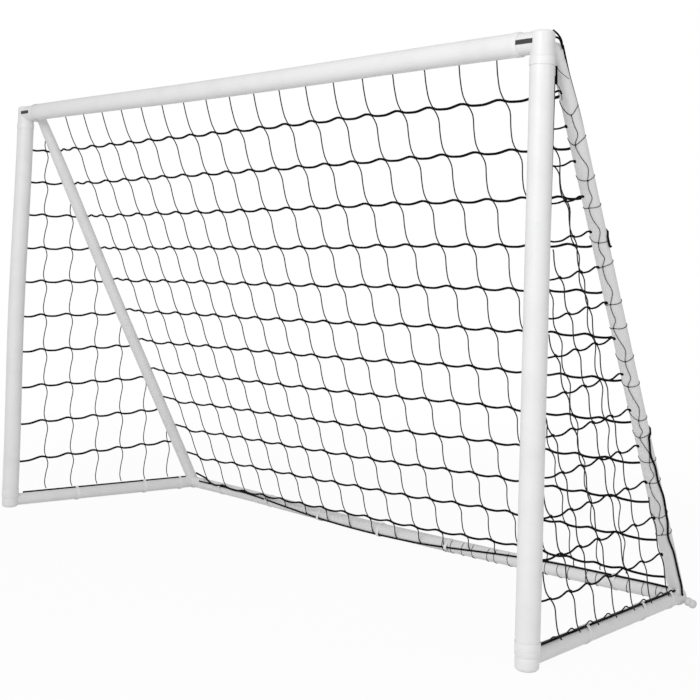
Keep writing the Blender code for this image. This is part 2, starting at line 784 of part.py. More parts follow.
def sideNet(side, word, runs, heights, lean, lift, spread):
    # Flat outside the side frame, cut off along the post and the brace, and bowed out with
    # the left post
    top = sideTop - sideBottom

    def place(run, height):
        run -= lean * height
        climb = (lift + spread * height) * run * (1 - height / top)
        if side < 0:
            reach = 1 - run / rearRun
            bulge = LEFT_POST_BOW * bow(height / top) * reach
        else:
            bulge = 0
        where = sidePoint(side, frontRun + run, sideBottom + height + climb, NET_STANDOFF)
        where.x -= bulge
        return where

    sheet = divided(f"net_{word}_side", runs, heights, place)
    forward = sidePoint(side, 0, 0) - sidePoint(side, 1, 0)
    outward = sidePoint(side, 0, 0, 1) - sidePoint(side, 0, 0)
    rearward = outward.cross(braceDirection(side)).normalized() * side
    cuts = ((sidePoint(side, frontRun, 0), forward),
            (elbowPoint(side) + rearward * sideways(side, smallRadius)[1], rearward))
    for edge, direction in cuts:
        everything = sheet.verts[:] + sheet.edges[:] + sheet.faces[:]
        bmesh.ops.bisect_plane(sheet, geom=everything, plane_co=edge, plane_no=direction,
                               clear_outer=True)
    narrowest = min(later - earlier for earlier, later in zip(runs, runs[1:]))
    bmesh.ops.remove_doubles(sheet, verts=sheet.verts, dist=narrowest * MERGE_SHARE)
    strands(f"net_{word}_side", sheet)


panelDepth = rearRun - frontRun
panelHeight = sideTop - sideBottom
sideNet(-1, "left",
        spaced(LEFT_FIRST_COLUMN, LEFT_MESH_WIDTH, panelDepth, LEFT_MESH_WIDENING),
        spaced(LEFT_FIRST_ROW, LEFT_MESH_HEIGHT, panelHeight, -LEFT_MESH_SHORTENING),
        LEFT_LEAN, LEFT_ROW_LIFT, LEFT_ROW_SPREAD)
sideNet(1, "right",
        spaced(RIGHT_FIRST_COLUMN, RIGHT_MESH_WIDTH, panelDepth, RIGHT_MESH_WIDENING),
        spaced(RIGHT_FIRST_ROW, RIGHT_MESH_HEIGHT, panelHeight, -RIGHT_MESH_SHORTENING),
        RIGHT_LEAN, RIGHT_ROW_LIFT, RIGHT_ROW_SPREAD)

# Air valve, laid out along its own axis from the centre of the right rear hub

hub = rearPoint(1)
flangeStart = hubRadius + SEAT_GAP
neckStart = flangeStart + FLANGE_THICKNESS
neckEnd = neckStart + NECK_LENGTH
stemStart = flangeStart - STEM_DEPTH
lipTop = stemStart + LIP_THICKNESS
seatTop = neckEnd - MOUTH_DEPTH
seatBottom = seatTop - SEAT_THICKNESS
turned("valve_body", [
    (STEM_RADIUS, neckEnd), (STEM_RADIUS, neckStart), (FLANGE_RADIUS, neckStart),
    (FLANGE_RADIUS, flangeStart), (STEM_RADIUS, flangeStart), (STEM_RADIUS, stemStart),
    (LIP_RADIUS, stemStart), (LIP_RADIUS, lipTop), (CHAMBER_RADIUS, lipTop),
    (CHAMBER_RADIUS, seatBottom), (SEAT_HOLE_RADIUS, seatBottom), (SEAT_HOLE_RADIUS, seatTop),
    (MOUTH_RADIUS, seatTop), (MOUTH_RADIUS, neckEnd)],
    valvePlastic, hub, valveAxis, VALVE_STEPS)

sealBottom = seatBottom - SEAT_GAP - SEAL_THICKNESS
discBottom = sealBottom - SEAT_GAP - DISC_THICKNESS
pinTop = neckEnd - PIN_BELOW_MOUTH
pinBottom = lipTop + PIN_ABOVE_LIP
turned("valve_seal", [
    (POPPET_RADIUS, sealBottom + SEAL_THICKNESS), (POPPET_RADIUS, sealBottom),
    (PIN_RADIUS + SEAT_GAP, sealBottom), (PIN_RADIUS + SEAT_GAP, sealBottom + SEAL_THICKNESS)],
    sealRubber, hub, valveAxis, VALVE_STEPS)
turned("valve_poppet", [
    (0, pinTop), (PIN_RADIUS, pinTop), (PIN_RADIUS, discBottom + DISC_THICKNESS),
    (POPPET_RADIUS, discBottom + DISC_THICKNESS), (POPPET_RADIUS, discBottom),
    (PIN_RADIUS, discBottom), (PIN_RADIUS, pinBottom), (0, pinBottom)],
    valvePlastic, hub, valveAxis, VALVE_STEPS)

springBottom = lipTop + SPRING_WIRE / 2 + SEAT_GAP
springTop = discBottom - SPRING_WIRE / 2 - SEAT_GAP
coil = []
coilSteps = SPRING_TURNS * SPRING_STEPS
for i in range(coilSteps + 1):
    angle = 2 * math.pi * i / SPRING_STEPS
    height = springBottom + (springTop - springBottom) * i / coilSteps
    coil.append(Vector((SPRING_COIL_RADIUS * math.cos(angle),
                        SPRING_COIL_RADIUS * math.sin(angle), height)))
addPiece("valve_spring", curveData("valve_spring", coil, SPRING_WIRE / 2, ROPE_SIDES, True),
         springSteel, hub, valveAxis)

gasketBottom = neckEnd + SEAT_GAP
cavityTop = gasketBottom + CAP_GASKET + SEAT_GAP
capStart = neckStart + CAP_ABOVE_FLANGE
capTop = cavityTop + CAP_END
capBore = STEM_RADIUS + CAP_CLEARANCE
turned("cap_gasket", [
    (STEM_RADIUS, gasketBottom + CAP_GASKET), (STEM_RADIUS, gasketBottom),
    (MOUTH_RADIUS, gasketBottom), (MOUTH_RADIUS, gasketBottom + CAP_GASKET)],
    sealRubber, hub, valveAxis, VALVE_STEPS)
capRounding = CAP_END * CAP_ROUNDING_SHARE
capProfile = [(0, capTop)]
capProfile += arc(CAP_RADIUS - capRounding, capTop - capRounding, capRounding, 90, 0)
capProfile += [(CAP_RADIUS, capStart), (capBore, capStart), (capBore, cavityTop), (0, cavityTop)]
turned("valve_cap", capProfile, valvePlastic, hub, valveAxis)


# The goal is moved so that the middle of its footprint is over the origin

def setOverOrigin():
    bpy.context.view_layer.update()
    graph = bpy.context.evaluated_depsgraph_get()
    low = Vector((math.inf, math.inf, math.inf))
    high = -low
    for piece in goal.objects:
        if piece.type == "EMPTY":
            continue
        evaluated = piece.evaluated_get(graph)
        mesh = evaluated.to_mesh()
        for vertex in mesh.vertices:
            place = evaluated.matrix_world @ vertex.co
            low = Vector(map(min, low, place))
            high = Vector(map(max, high, place))
        evaluated.to_mesh_clear()
    middle.location = (-(low.x + high.x) / 2, -(low.y + high.y) / 2, -low.z)
    print("size", [round(value, 4) for value in high - low])
    print("moved by", [round(value, 5) for value in middle.location])


setOverOrigin()
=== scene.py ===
import math
import random
import bmesh
import bpy
from mathutils import Matrix, Vector, noise


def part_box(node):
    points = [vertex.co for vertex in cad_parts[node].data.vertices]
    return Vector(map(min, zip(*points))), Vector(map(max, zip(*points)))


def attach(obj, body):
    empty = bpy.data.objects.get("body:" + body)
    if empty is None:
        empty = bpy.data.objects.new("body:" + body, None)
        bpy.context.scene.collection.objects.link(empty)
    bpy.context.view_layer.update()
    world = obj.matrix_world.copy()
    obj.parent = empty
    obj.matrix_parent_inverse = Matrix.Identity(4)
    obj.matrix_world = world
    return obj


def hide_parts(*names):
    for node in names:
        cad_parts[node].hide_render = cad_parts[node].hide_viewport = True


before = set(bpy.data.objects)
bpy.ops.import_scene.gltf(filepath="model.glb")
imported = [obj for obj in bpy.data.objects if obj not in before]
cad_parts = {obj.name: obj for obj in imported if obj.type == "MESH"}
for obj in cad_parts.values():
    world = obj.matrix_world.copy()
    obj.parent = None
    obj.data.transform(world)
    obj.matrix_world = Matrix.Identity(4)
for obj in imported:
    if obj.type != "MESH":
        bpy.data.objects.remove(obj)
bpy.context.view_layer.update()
up = Vector((0, 0, 1))
forward = Vector((0, -1, 0))
toRight = Vector((1, 0, 0))

# Camera, first of all: the lens axis meets the picture above its middle
view = {
    "place": (3.0174, -2.8519, 0.9495),
    "turn": 44.899,            # degrees, left from straight back
    "tilt": 1.339,             # degrees above level
    "roll": 2.028,             # degrees
    "lens": 61.28,             # mm on a 36 mm sensor
    "shiftY": -0.1429,
}

bpy.ops.object.camera_add(location=view["place"])
camera = bpy.context.object
camera.name = "photoCamera"
camera.rotation_euler = (Matrix.Rotation(math.radians(view["turn"]), 3, "Z")
                         @ Matrix.Rotation(math.radians(90 + view["tilt"]), 3, "X")
                         @ Matrix.Rotation(math.radians(view["roll"]), 3, "Z")).to_euler()
camera.data.lens = view["lens"]
camera.data.shift_y = view["shiftY"]
bpy.context.scene.camera = camera
bpy.context.scene.view_settings.view_transform = "Standard"
print("camera placed")

# Where things are, read from the frame. Pairs are the left side (-1) and the right side (1)

goal = {
    "mainRadius": 0.0325,      # posts and crossbar
    "mainSkin": 0.0312,        # the same tubes as they look under pressure
    "smallRadius": 0.0225,     # braces, base tubes and rear tube
    "rearInset": 0.0675,       # each rear corner in from its post's line
    "elbowBack": 0.050,        # the brace's bend behind the post's axis
    "elbowDown": 0.012,        # and below the crossbar's axis
    "elbowRight": {-1: 0.025, 1: 0.009},       # both elbows have crept to the right
    "postKick": {-1: (0, 0), 1: (0.006, -0.005)},      # a post's foot and top, to the right
    "postBow": {-1: 0.013, 1: 0},      # outward
    "crossbarSag": 0.005,
    "rearBow": 0.045,          # forward, in the middle
    "bend": 0.45,              # less than 1 gives its right half a fuller bow
    "braceBow": {-1: 0.009, 1: 0},     # outward
    "braceStart": 0.030,       # from a brace's elbow to its tube
    "braceNeck": 0.0038,       # the braces narrow towards their elbows
    "neckRun": 0.22,
    "braceDrift": {-1: 0, 1: -0.007},  # the right brace's top, to the left
    "driftReach": 0.13,
    "baseStart": 0.0357,       # from a post's axis to the base tube
    "rearStart": 0.0453,       # from a rear corner's middle to a side tube
    "spigotRun": 0.050,        # each spigot's length inside its tube
    "straightEnd": 0.066,      # a tube's run that stays straight at either end
    "netOut": 0.0285,          # from a side tube's axis to the net outside it
    "ropeSeat": 0.0033,        # from a tube's skin to the axis of a rope on it
}


def middleOf(node):
    low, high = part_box(node)
    return (Vector(low) + Vector(high)) / 2


leftPost = middleOf("left_post_foot_clamp")
rightPost = middleOf("right_post_foot_clamp")
halfWidth = (rightPost.x - leftPost.x) / 2
centre = Vector(((rightPost.x + leftPost.x) / 2, rightPost.y, 0))
crossbarZ = middleOf("left_crossbar_clamp").z
baseZ = middleOf("rear_base_tube").z
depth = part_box("rear_base_tube")[1][1] - goal["smallRadius"] - centre.y
sideLength = math.hypot(depth, goal["rearInset"])
ropeReach = goal["smallRadius"] + goal["ropeSeat"]
sideWords = {-1: "left", 1: "right"}


def postAxis(side, height=0.0):
    return centre + Vector((side * halfWidth, 0, height))


def postEnd(side, end, height):
    # end 0 is the foot, 1 the top
    return postAxis(side, height) + toRight * goal["postKick"][side][end]


def wayBack(side):
    # along the side frame
    return Vector((-side * goal["rearInset"], depth, 0)).normalized()


def wayOut(side):
    # away from the goal, square to the side frame
    back = wayBack(side)
    return Vector((side * back.y, abs(back.x), 0))


def sidePoint(side, run, height, out=0.0):
    return postAxis(side, height) + wayBack(side) * run + wayOut(side) * out


def elbowPoint(side):
    elbow = sidePoint(side, goal["elbowBack"], crossbarZ - goal["elbowDown"])
    return elbow + toRight * goal["elbowRight"][side]


def rearPoint(side):
    return sidePoint(side, sideLength, baseZ)


def braceWay(side):
    return (rearPoint(side) - elbowPoint(side)).normalized()


def braceDrift(side, run):
    return toRight * goal["braceDrift"][side] * math.exp(-(run / goal["driftReach"]) ** 2)


def clamped(value, low=0.0, high=1.0):
    return min(max(value, low), high)


def braceNeck(run):
    # how much thinner the brace is, at a length from its elbow
    share = clamped((run - goal["braceStart"]) / goal["neckRun"])
    return goal["braceNeck"] * 0.5 * (1 + math.cos(math.pi * share))


def bow(share):
    return math.sin(math.pi * clamped(share)) ** 2


def poly(terms, value):
    return sum(c * value ** i for i, c in enumerate(terms))


def leaning(base, towards, degrees):
    return base * math.cos(math.radians(degrees)) + towards * math.sin(math.radians(degrees))


# Selecting and editing


def startClean():
    if bpy.context.object and bpy.context.object.mode != "OBJECT":
        bpy.ops.object.mode_set(mode="OBJECT")
    bpy.ops.object.select_all(action="DESELECT")


def choose(piece):
    startClean()
    piece.select_set(True)
    bpy.context.view_layer.objects.active = piece


def editAll(piece):
    choose(piece)
    bpy.ops.object.mode_set(mode="EDIT")
    bpy.ops.mesh.select_all(action="SELECT")


def closeUp(piece, doubles=False):
    editAll(piece)
    if doubles:
        bpy.ops.mesh.remove_doubles(threshold=0.00002)
    bpy.ops.mesh.normals_make_consistent(inside=False)
    bpy.ops.object.mode_set(mode="OBJECT")


def applyAll(piece):
    choose(piece)
    for step in list(piece.modifiers):
        bpy.ops.object.modifier_apply(modifier=step.name)


def applyPlace(piece):
    choose(piece)
    bpy.ops.object.transform_apply(location=True, rotation=True, scale=True)


def settle(piece, degrees):
    # place goes into the mesh, and the shading follows the edges
    applyPlace(piece)
    bpy.ops.object.shade_smooth_by_angle(angle=math.radians(degrees))


def thickened(piece, thickness, offset):
    wall = piece.modifiers.new("wall", "SOLIDIFY")
    wall.thickness = thickness
    wall.offset = offset
    applyAll(piece)


def bevelEdges(piece, width, degrees):
    edge = piece.modifiers.new("roundedEdges", "BEVEL")
    edge.width = width
    edge.segments = 2
    edge.limit_method = "ANGLE"
    edge.angle_limit = math.radians(degrees)
    applyAll(piece)


def pointed(piece, place, way):
    # what stood upright at the origin points the given way
    turn = up.rotation_difference(way).to_matrix().to_4x4()
    piece.data.transform(Matrix.Translation(place) @ turn)
    return piece


def linked(name, data):
    piece = bpy.data.objects.new(name, data)
    bpy.context.scene.collection.objects.link(piece)
    return piece


def ball(place, radius, segments, rings):
    startClean()
    bpy.ops.mesh.primitive_uv_sphere_add(segments=segments, ring_count=rings, radius=radius,
                                         location=place)
    piece = bpy.context.object
    applyPlace(piece)
    return piece


def bar(start, end, radius):
    startClean()
    bpy.ops.mesh.primitive_cylinder_add(vertices=64, radius=radius, depth=(end - start).length)
    return pointed(bpy.context.object, (start + end) / 2, (end - start).normalized())


def arm(start, way, run, radius, spigot):
    # with the thinner spigot that goes into the tube
    return [bar(start, start + way * run, radius),
            bar(start, start + way * (run + goal["spigotRun"]), spigot)]


def quarterRound(out, rise, wide, tall, steps=6):
    # outline points round (out, rise), from above it, or below it with tall less than 0
    angles = [math.pi / 2 * (1 - i / steps) for i in range(steps + 1)]
    return [(out + wide * math.cos(angle), rise + tall * math.sin(angle)) for angle in angles]


def spun(name, profile, steps, place, way=up):
    # an outline of (radius, height) points, spun round its axis
    mesh = bpy.data.meshes.new(name)
    count = len(profile)
    closed = profile[0][0] > 0 or profile[-1][0] > 0
    edges = [(i, i + 1) for i in range(count - 1)] + ([(count - 1, 0)] if closed else [])
    mesh.from_pydata([(radius, 0, height) for radius, height in profile], edges, [])
    piece = linked(name, mesh)
    editAll(piece)
    bpy.ops.mesh.spin(steps=steps, angle=math.tau, center=(0, 0, 0), axis=(0, 0, 1))
    closeUp(piece, True)
    return pointed(piece, place, way)


def united(pieces, name):
    # one closed body from overlapping ones
    body = pieces[0]
    for other in pieces[1:]:
        step = body.modifiers.new("join", "BOOLEAN")
        step.operation = "UNION"
        step.solver = "EXACT"
        step.object = other
        applyAll(body)
        bpy.data.objects.remove(other)
    body.name = name
    return body


def melted(piece, grain, rounds):
    # remeshed fine and eased, so that its joints blend like a moulding's
    remesh = piece.modifiers.new("fineSkin", "REMESH")
    remesh.mode = "VOXEL"
    remesh.voxel_size = grain
    ease = piece.modifiers.new("eased", "CORRECTIVE_SMOOTH")
    ease.factor = 0.7
    ease.iterations = rounds
    ease.smooth_type = "SIMPLE"
    ease.use_only_smooth = True
    applyAll(piece)


def sweptCord(name, lines, radius, sides=6):
    # round twine or rope along each list of points
    data = bpy.data.curves.new(name, "CURVE")
    data.dimensions = "3D"
    data.bevel_depth = radius
    data.bevel_resolution = (sides - 4) // 2
    data.use_fill_caps = True
    for line in lines:
        spline = data.splines.new("POLY")
        spline.points.add(len(line) - 1)
        for point, place in zip(spline.points, line):
            point.co = (*place, 1)
    choose(linked(name, data))
    bpy.ops.object.convert(target="MESH")
    piece = bpy.context.object
    closeUp(piece, True)
    return piece


# Materials: every one reads Object coordinates, since a finished piece sits at the origin


def addNode(tree, kind, values=(), links=()):
    node = tree.nodes.new(kind)
    for socket, value in dict(values).items():
        node.inputs[socket].default_value = value
    for socket, source in dict(links).items():
        tree.links.new(source, node.inputs[socket])
    return node


def nodeSet(name, colour, roughness, fixed=()):
    material = bpy.data.materials.new(name)
    material.use_nodes = True
    shader = material.node_tree.nodes["Principled BSDF"]
    shader.inputs["Base Color"].default_value = (*colour, 1)
    shader.inputs["Roughness"].default_value = roughness
    for socket, value in dict(fixed).items():
        shader.inputs[socket].default_value = value
    return material, shader, addNode(material.node_tree, "ShaderNodeTexCoord").outputs["Object"]


def noiseOf(place, scale, detail, rough=0.5):
    values = {"Scale": scale, "Detail": detail, "Roughness": rough}
    node = addNode(place.id_data, "ShaderNodeTexNoise", values, {"Vector": place})
    return node.outputs["Fac"]


def spread(source, low, high, start=0.3, end=0.7):
    # goes from low to high as the source goes from start to end
    values = {"From Min": start, "From Max": end, "To Min": low, "To Max": high}
    node = addNode(source.id_data, "ShaderNodeMapRange", values, {"Value": source})
    return node.outputs["Result"]


def blend(source, first, second, start, end):
    ramp = addNode(source.id_data, "ShaderNodeValToRGB", {}, {"Fac": source})
    stops = ramp.color_ramp.elements
    for stop, place, colour in zip(stops, (start, end), (first, second)):
        stop.position = place
        stop.color = (*colour, 1)
    return ramp.outputs["Color"]


def finish(shader, colour=None, roughness=None, bumps=()):
    # bumps are (height, strength, distance), the coarse one first
    normal = None
    for height, strength, distance in bumps:
        values = {"Strength": strength, "Distance": distance}
        links = {"Height": height, "Normal": normal} if normal else {"Height": height}
        normal = addNode(shader.id_data, "ShaderNodeBump", values, links).outputs["Normal"]
    for socket, source in (("Base Color", colour), ("Roughness", roughness), ("Normal", normal)):
        if source:
            shader.id_data.links.new(source, shader.inputs[socket])


def airTubeSkin(name):
    # satin coated fabric: a fine cloth grain under the coat, faint mottling, slow swells
    look = {"pale": (0.91, 0.91, 0.912), "shade": (0.865, 0.865, 0.868), "grain": 900, "swell": 9}
    material, shader, place = nodeSet(name, look["pale"], 0.45,
                                      {"Coat Weight": 0.12, "Coat Roughness": 0.35})
    finish(shader, blend(noiseOf(place, 14, 4), look["shade"], look["pale"], 0.25, 0.55),
           spread(noiseOf(place, 60, 5, 0.6), 0.38, 0.52),
           ((noiseOf(place, look["swell"], 2), 0.10, 0.006),
            (noiseOf(place, look["grain"], 2), 0.05, 0.0002)))
    return material


def mouldedPlastic(name, colour, roughness, grain=420):
    soft = {"Subsurface Weight": 0.04, "Subsurface Radius": (0.004, 0.004, 0.004)}
    material, shader, place = nodeSet(name, colour, roughness, soft)
    cloud = noiseOf(place, 22, 3)
    fine = noiseOf(place, grain, 3, 0.6)
    deeper = tuple(value * 0.955 for value in colour)
    finish(shader, blend(cloud, deeper, colour, 0.3, 0.6),
           spread(fine, roughness - 0.05, roughness + 0.07),
           ((cloud, 0.08, 0.004), (fine, 0.16, 0.0004)))
    return material


def twistedTwine(name, colour, lit, turns, roughness):
    # the lay of the twine shows as slanting bands, with loose fibre between; the ridges of the
    # bands are painted lighter, a painted highlight
    material, shader, place = nodeSet(name, colour, roughness, {"Specular IOR Level": 0.12})
    lay = addNode(place.id_data, "ShaderNodeTexWave",
                  {"Scale": turns, "Distortion": 0.6, "Detail": 1.0}, {"Vector": place})
    lay.wave_type = "BANDS"
    lay.bands_direction = "DIAGONAL"
    finish(shader, blend(lay.outputs["Fac"], colour, lit, 0.2, 0.9), None,
           ((lay.outputs["Fac"], 0.6, 0.0008), (noiseOf(place, 1500, 2), 0.3, 0.0004)))
    return material


def wovenWeb(name, colour, shade):
    # hook and loop tape: a close weave with a soft nap
    material, shader, place = nodeSet(name, colour, 0.85, {"Sheen Weight": 0.25})
    weave = addNode(place.id_data, "ShaderNodeTexChecker", {"Scale": 900.0}, {"Vector": place})
    nap = noiseOf(place, 700, 4, 0.65)
    finish(shader, blend(nap, shade, colour, 0.3, 0.6), None,
           ((nap, 0.5, 0.0006), (weave.outputs["Fac"], 0.25, 0.0002)))
    return material


def fineGrain(name, colour, grain, shine, bump, metallic=0.0):
    # rubber and drawn wire: one close grain in both shine and height
    material, shader, place = nodeSet(name, colour, shine[0], {"Metallic": metallic})
    fine = noiseOf(place, *grain)
    finish(shader, None, spread(fine, *shine), ((fine, *bump),))
    return material


skin = airTubeSkin("airTubeSkin")
cornerWhite = mouldedPlastic("cornerWhite", (0.91, 0.91, 0.912), 0.4)
clampWhite = mouldedPlastic("clampWhite", (0.93, 0.93, 0.932), 0.36)
patchDark = mouldedPlastic("patchDark", (0.045, 0.045, 0.048), 0.5, 1400)
valveGrey = mouldedPlastic("valveGrey", (0.80, 0.80, 0.80), 0.33, 1500)
# the second colour of each twine is the painted highlight on the ridges of its lay
netBlack = twistedTwine("netBlack", (0.0015, 0.0015, 0.0016), (0.006, 0.006, 0.0062), 70, 0.9)
netGrey = twistedTwine("netGrey", (0.02, 0.02, 0.021), (0.05, 0.05, 0.051), 90, 0.85)
ropeBlack = twistedTwine("ropeBlack", (0.0012, 0.0012, 0.0013), (0.006, 0.006, 0.0062), 45, 0.9)
webWhite = wovenWeb("webWhite", (0.98, 0.98, 0.975), (0.94, 0.94, 0.935))
sealBlack = fineGrain("sealBlack", (0.03, 0.03, 0.032), (2500, 3), (0.6, 0.8), (0.3, 0.0001))
springMetal = fineGrain("springMetal", (0.62, 0.62, 0.64), (3000, 2), (0.2, 0.42),
                        (0.2, 0.00005), 1.0)
print("materials made")


def paint(piece, material):
    piece.data.materials.clear()
    piece.data.materials.append(material)


def standFor(piece, node, body="frame"):
    # the solid it is shown for and the body it moves with
    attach(piece, body)
    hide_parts(node)


def dress(piece, material, node, body="frame"):
    paint(piece, material)
    standFor(piece, node, body)


# Air tubes: each a cylinder, divided along its length, then swelled, bowed and creased

airTubes = {
    "sides": 72,
    "rings": 160,
    "wall": 0.0012,
    "tuck": 0.0004,            # how far the end draws in under its clamp
    "swell": 0.0003,           # how full it stands just past the clamp
    "rise": 0.008,             # the length in which it swells
    "crease": 0.00028,         # puckers that run out from the clamp
    "creases": 15,
    "creaseReach": 0.035,
    "unevenness": 0.00022,
    "lumps": (1.2, 9),         # how close they lie, round the tube and along it
    "mainEnd": 0.020,          # a clamp's width, with the lip of tube past it
    "smallEnd": 0.004,
}


def skinOut(run, length, angle, endRun, seed):
    # how far the skin stands off its plain radius
    size = airTubes
    past = min(run, length - run) - endRun
    if past < 0:
        return -size["tuck"]
    rise = 1 - math.exp(-past / size["rise"])
    fade = math.exp(-past / size["creaseReach"])
    ripple = math.cos(size["creases"] * angle + seed + 3 * math.sin(angle * 2 + seed))
    around, along = size["lumps"]
    lump = noise.noise(Vector((math.cos(angle) * around + seed, math.sin(angle) * around,
                               run * along)))
    return (size["swell"] * rise * (0.4 + 0.6 * fade) - size["tuck"] * (1 - rise)
            + size["crease"] * ripple * fade * rise + size["unevenness"] * lump * rise)


def airTube(name, start, end, seed, offset, main=False, bend=1.0, brace=0):
    radius = goal["mainSkin"] if main else goal["smallRadius"]
    endRun = airTubes["mainEnd"] if main else airTubes["smallEnd"]
    length = (end - start).length
    startClean()
    bpy.ops.mesh.primitive_cylinder_add(vertices=airTubes["sides"], radius=radius, depth=length,
                                        end_fill_type="NOTHING", location=(0, 0, length / 2))
    tube = bpy.context.object
    tube.name = name + "_airTube"
    applyPlace(tube)
    bpy.ops.object.mode_set(mode="EDIT")
    bpy.ops.mesh.select_mode(type="EDGE")
    bpy.ops.mesh.select_all(action="DESELECT")
    shape = bmesh.from_edit_mesh(tube.data)
    for edge in shape.edges:
        if abs(edge.verts[0].co.z - edge.verts[1].co.z) > length / 2:
            edge.select_set(True)
    shape.select_flush_mode()
    bmesh.update_edit_mesh(tube.data)
    bpy.ops.mesh.subdivide(number_cuts=airTubes["rings"])
    bpy.ops.object.mode_set(mode="OBJECT")
    turn = up.rotation_difference((end - start).normalized()).to_matrix()
    straight = goal["straightEnd"]
    for vertex in tube.data.vertices:
        run = vertex.co.z
        out = skinOut(run, length, math.atan2(vertex.co.y, vertex.co.x), endRun, seed)
        if brace:
            out -= braceNeck(run + goal["braceStart"])
        flat = Vector((vertex.co.x, vertex.co.y, 0)) * ((radius + out) / radius)
        place = start + turn @ (flat + Vector((0, 0, run)))
        share = (run - straight) / (length - 2 * straight)
        vertex.co = place + offset * bow(share) ** (bend if share > 0.5 else 1)
        if brace:
            vertex.co += braceDrift(brace, run + goal["braceStart"])
    thickened(tube, airTubes["wall"], -1)
    settle(tube, 50)
    dress(tube, skin, name)


for side, word in sideWords.items():
    low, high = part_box(word + "_post")
    airTube(word + "_post", postEnd(side, 0, low[2]), postEnd(side, 1, high[2]), 2 + side,
            -toRight * goal["postBow"][side], main=True)
    airTube(word + "_brace", elbowPoint(side) + braceWay(side) * goal["braceStart"],
            rearPoint(side) - braceWay(side) * goal["rearStart"], 5 + side,
            -toRight * goal["braceBow"][side], brace=side)
    airTube(word + "_base_tube", sidePoint(side, goal["baseStart"], baseZ),
            sidePoint(side, sideLength - goal["rearStart"], baseZ), 8 + side, Vector())
low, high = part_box("crossbar")
airTube("crossbar", Vector((low[0], centre.y, crossbarZ)), Vector((high[0], centre.y, crossbarZ)),
        11, -up * goal["crossbarSag"], main=True)
low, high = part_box("rear_base_tube")
rearY = centre.y + depth
airTube("rear_base_tube", Vector((low[0], rearY, baseZ)), Vector((high[0], rearY, baseZ)),
        13, forward * goal["rearBow"], bend=goal["bend"])
print("air tubes made")

# Top corners: a capped post end, the crossbar's arm and the brace's elbow, blended together

topCorners = {
    "postRadius": 0.0306,
    "capRise": 0.027,          # above the crossbar's axis
    "capRound": 0.010,
    "shoulderDown": 0.040,
    "arm": 0.0290,
    "armRun": 0.070,
    "spigot": 0.0280,
    "braceArm": 0.0180,
    "braceSpigot": 0.0162,
    "grain": 0.0013,
}


def topCorner(side, word):
    size = topCorners
    axis = postEnd(side, 1, crossbarZ)
    radius, rise, edge = size["postRadius"], size["capRise"], size["capRound"]
    shoulder = -size["shoulderDown"]
    end = shoulder - goal["spigotRun"]
    outline = [(0, rise), *quarterRound(radius - edge, rise - edge, edge, edge),
               (radius, shoulder), (size["spigot"], shoulder), (size["spigot"], end), (0, end)]
    elbow = elbowPoint(side) + braceDrift(side, 0)
    level = Vector((axis.x, axis.y, elbow.z))
    parts = [spun("body", outline, 64, axis),
             *arm(axis, -toRight * side, size["armRun"], size["arm"], size["spigot"]),
             bar(level, elbow, size["braceArm"]), ball(elbow, size["braceArm"], 48, 24),
             *arm(elbow, braceWay(side), goal["braceStart"], size["braceArm"],
                  size["braceSpigot"])]
    corner = united(parts, word + "_top_corner_moulding")
    melted(corner, size["grain"], 6)
    settle(corner, 60)
    dress(corner, cornerWhite, word + "_top_corner")


# Feet: a round cap on the ground, a groove, and a collar that swells towards the base tube

feet = {
    "capRadius": 0.0306,
    "capRound": 0.0105,
    "capHeight": 0.0335,
    "grooveDepth": 0.0008,
    "collarRadius": 0.0320,
    "spigot": 0.0280,
    "baseSpigot": 0.0190,
    "socket": 0.022599,
    "socketRun": 0.0352,
    "bulge": 0.0022,
}


def foot(side, word):
    size = feet
    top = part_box(word + "_post")[0][2] - 0.0003
    cap, groove, collar = size["capRadius"], size["capHeight"], size["collarRadius"]
    edge, spigot = size["capRound"], size["spigot"]
    outline = [(0, 0), *quarterRound(cap - edge, edge, edge, -edge),
               (cap + 0.0004, groove - 0.003), (cap - 0.0004, groove - 0.0010),
               (cap - size["grooveDepth"], groove + 0.0004),
               (collar - 0.0016, groove + 0.0022), (collar, groove + 0.0055),
               (collar, top - 0.004), (collar - 0.0006, top), (spigot, top),
               (spigot, top + goal["spigotRun"]), (0, top + goal["spigotRun"])]
    outline.reverse()
    axis = postEnd(side, 0, 0)
    body = spun("body", outline, 72, axis)
    back = wayBack(side)
    for vertex in body.data.vertices:
        out = Vector((vertex.co.x - axis.x, vertex.co.y - axis.y, 0))
        if out.length > spigot + 0.001 and vertex.co.z > groove + 0.002:
            out.normalize()
            vertex.co += out * size["bulge"] * max(out.dot(back), 0) ** 3
    socket = arm(sidePoint(side, 0, baseZ), back, size["socketRun"], size["socket"],
                 size["baseSpigot"])
    piece = united([body] + socket, word + "_foot_moulding")
    settle(piece, 40)
    bevelEdges(piece, 0.0006, 40)
    settle(piece, 40)
    dress(piece, cornerWhite, word + "_foot")


# Rear corners: a round hub with a shouldered arm for each of its three small tubes

rearCorners = {
    "hub": 0.0267,
    "shoulder": 0.0222,
    "shoulderRun": 0.045,
    "spigot": 0.0187,
    "grain": 0.0012,
    "flat": 0.0002,            # what the ground takes off below
}


def rearCorner(side, word):
    size = rearCorners
    hub = rearPoint(side)
    parts = [ball(hub, size["hub"], 64, 32)]
    for way in (-braceWay(side), -wayBack(side), -toRight * side):
        parts += arm(hub, way, size["shoulderRun"], size["shoulder"], size["spigot"])
    corner = united(parts, word + "_rear_corner_moulding")
    melted(corner, size["grain"], 8)
    editAll(corner)
    bpy.ops.mesh.bisect(plane_co=(0, 0, size["flat"]), plane_no=(0, 0, -1), use_fill=True,
                        clear_outer=True)
    closeUp(corner)
    settle(corner, 60)
    dress(corner, cornerWhite, word + "_rear_corner")


for side, word in sideWords.items():
    topCorner(side, word)
    foot(side, word)
    rearCorner(side, word)
print("corner pieces made")

# Clamp rings: a crowned band with a fine bead at one rim, rolled in over the tube's end

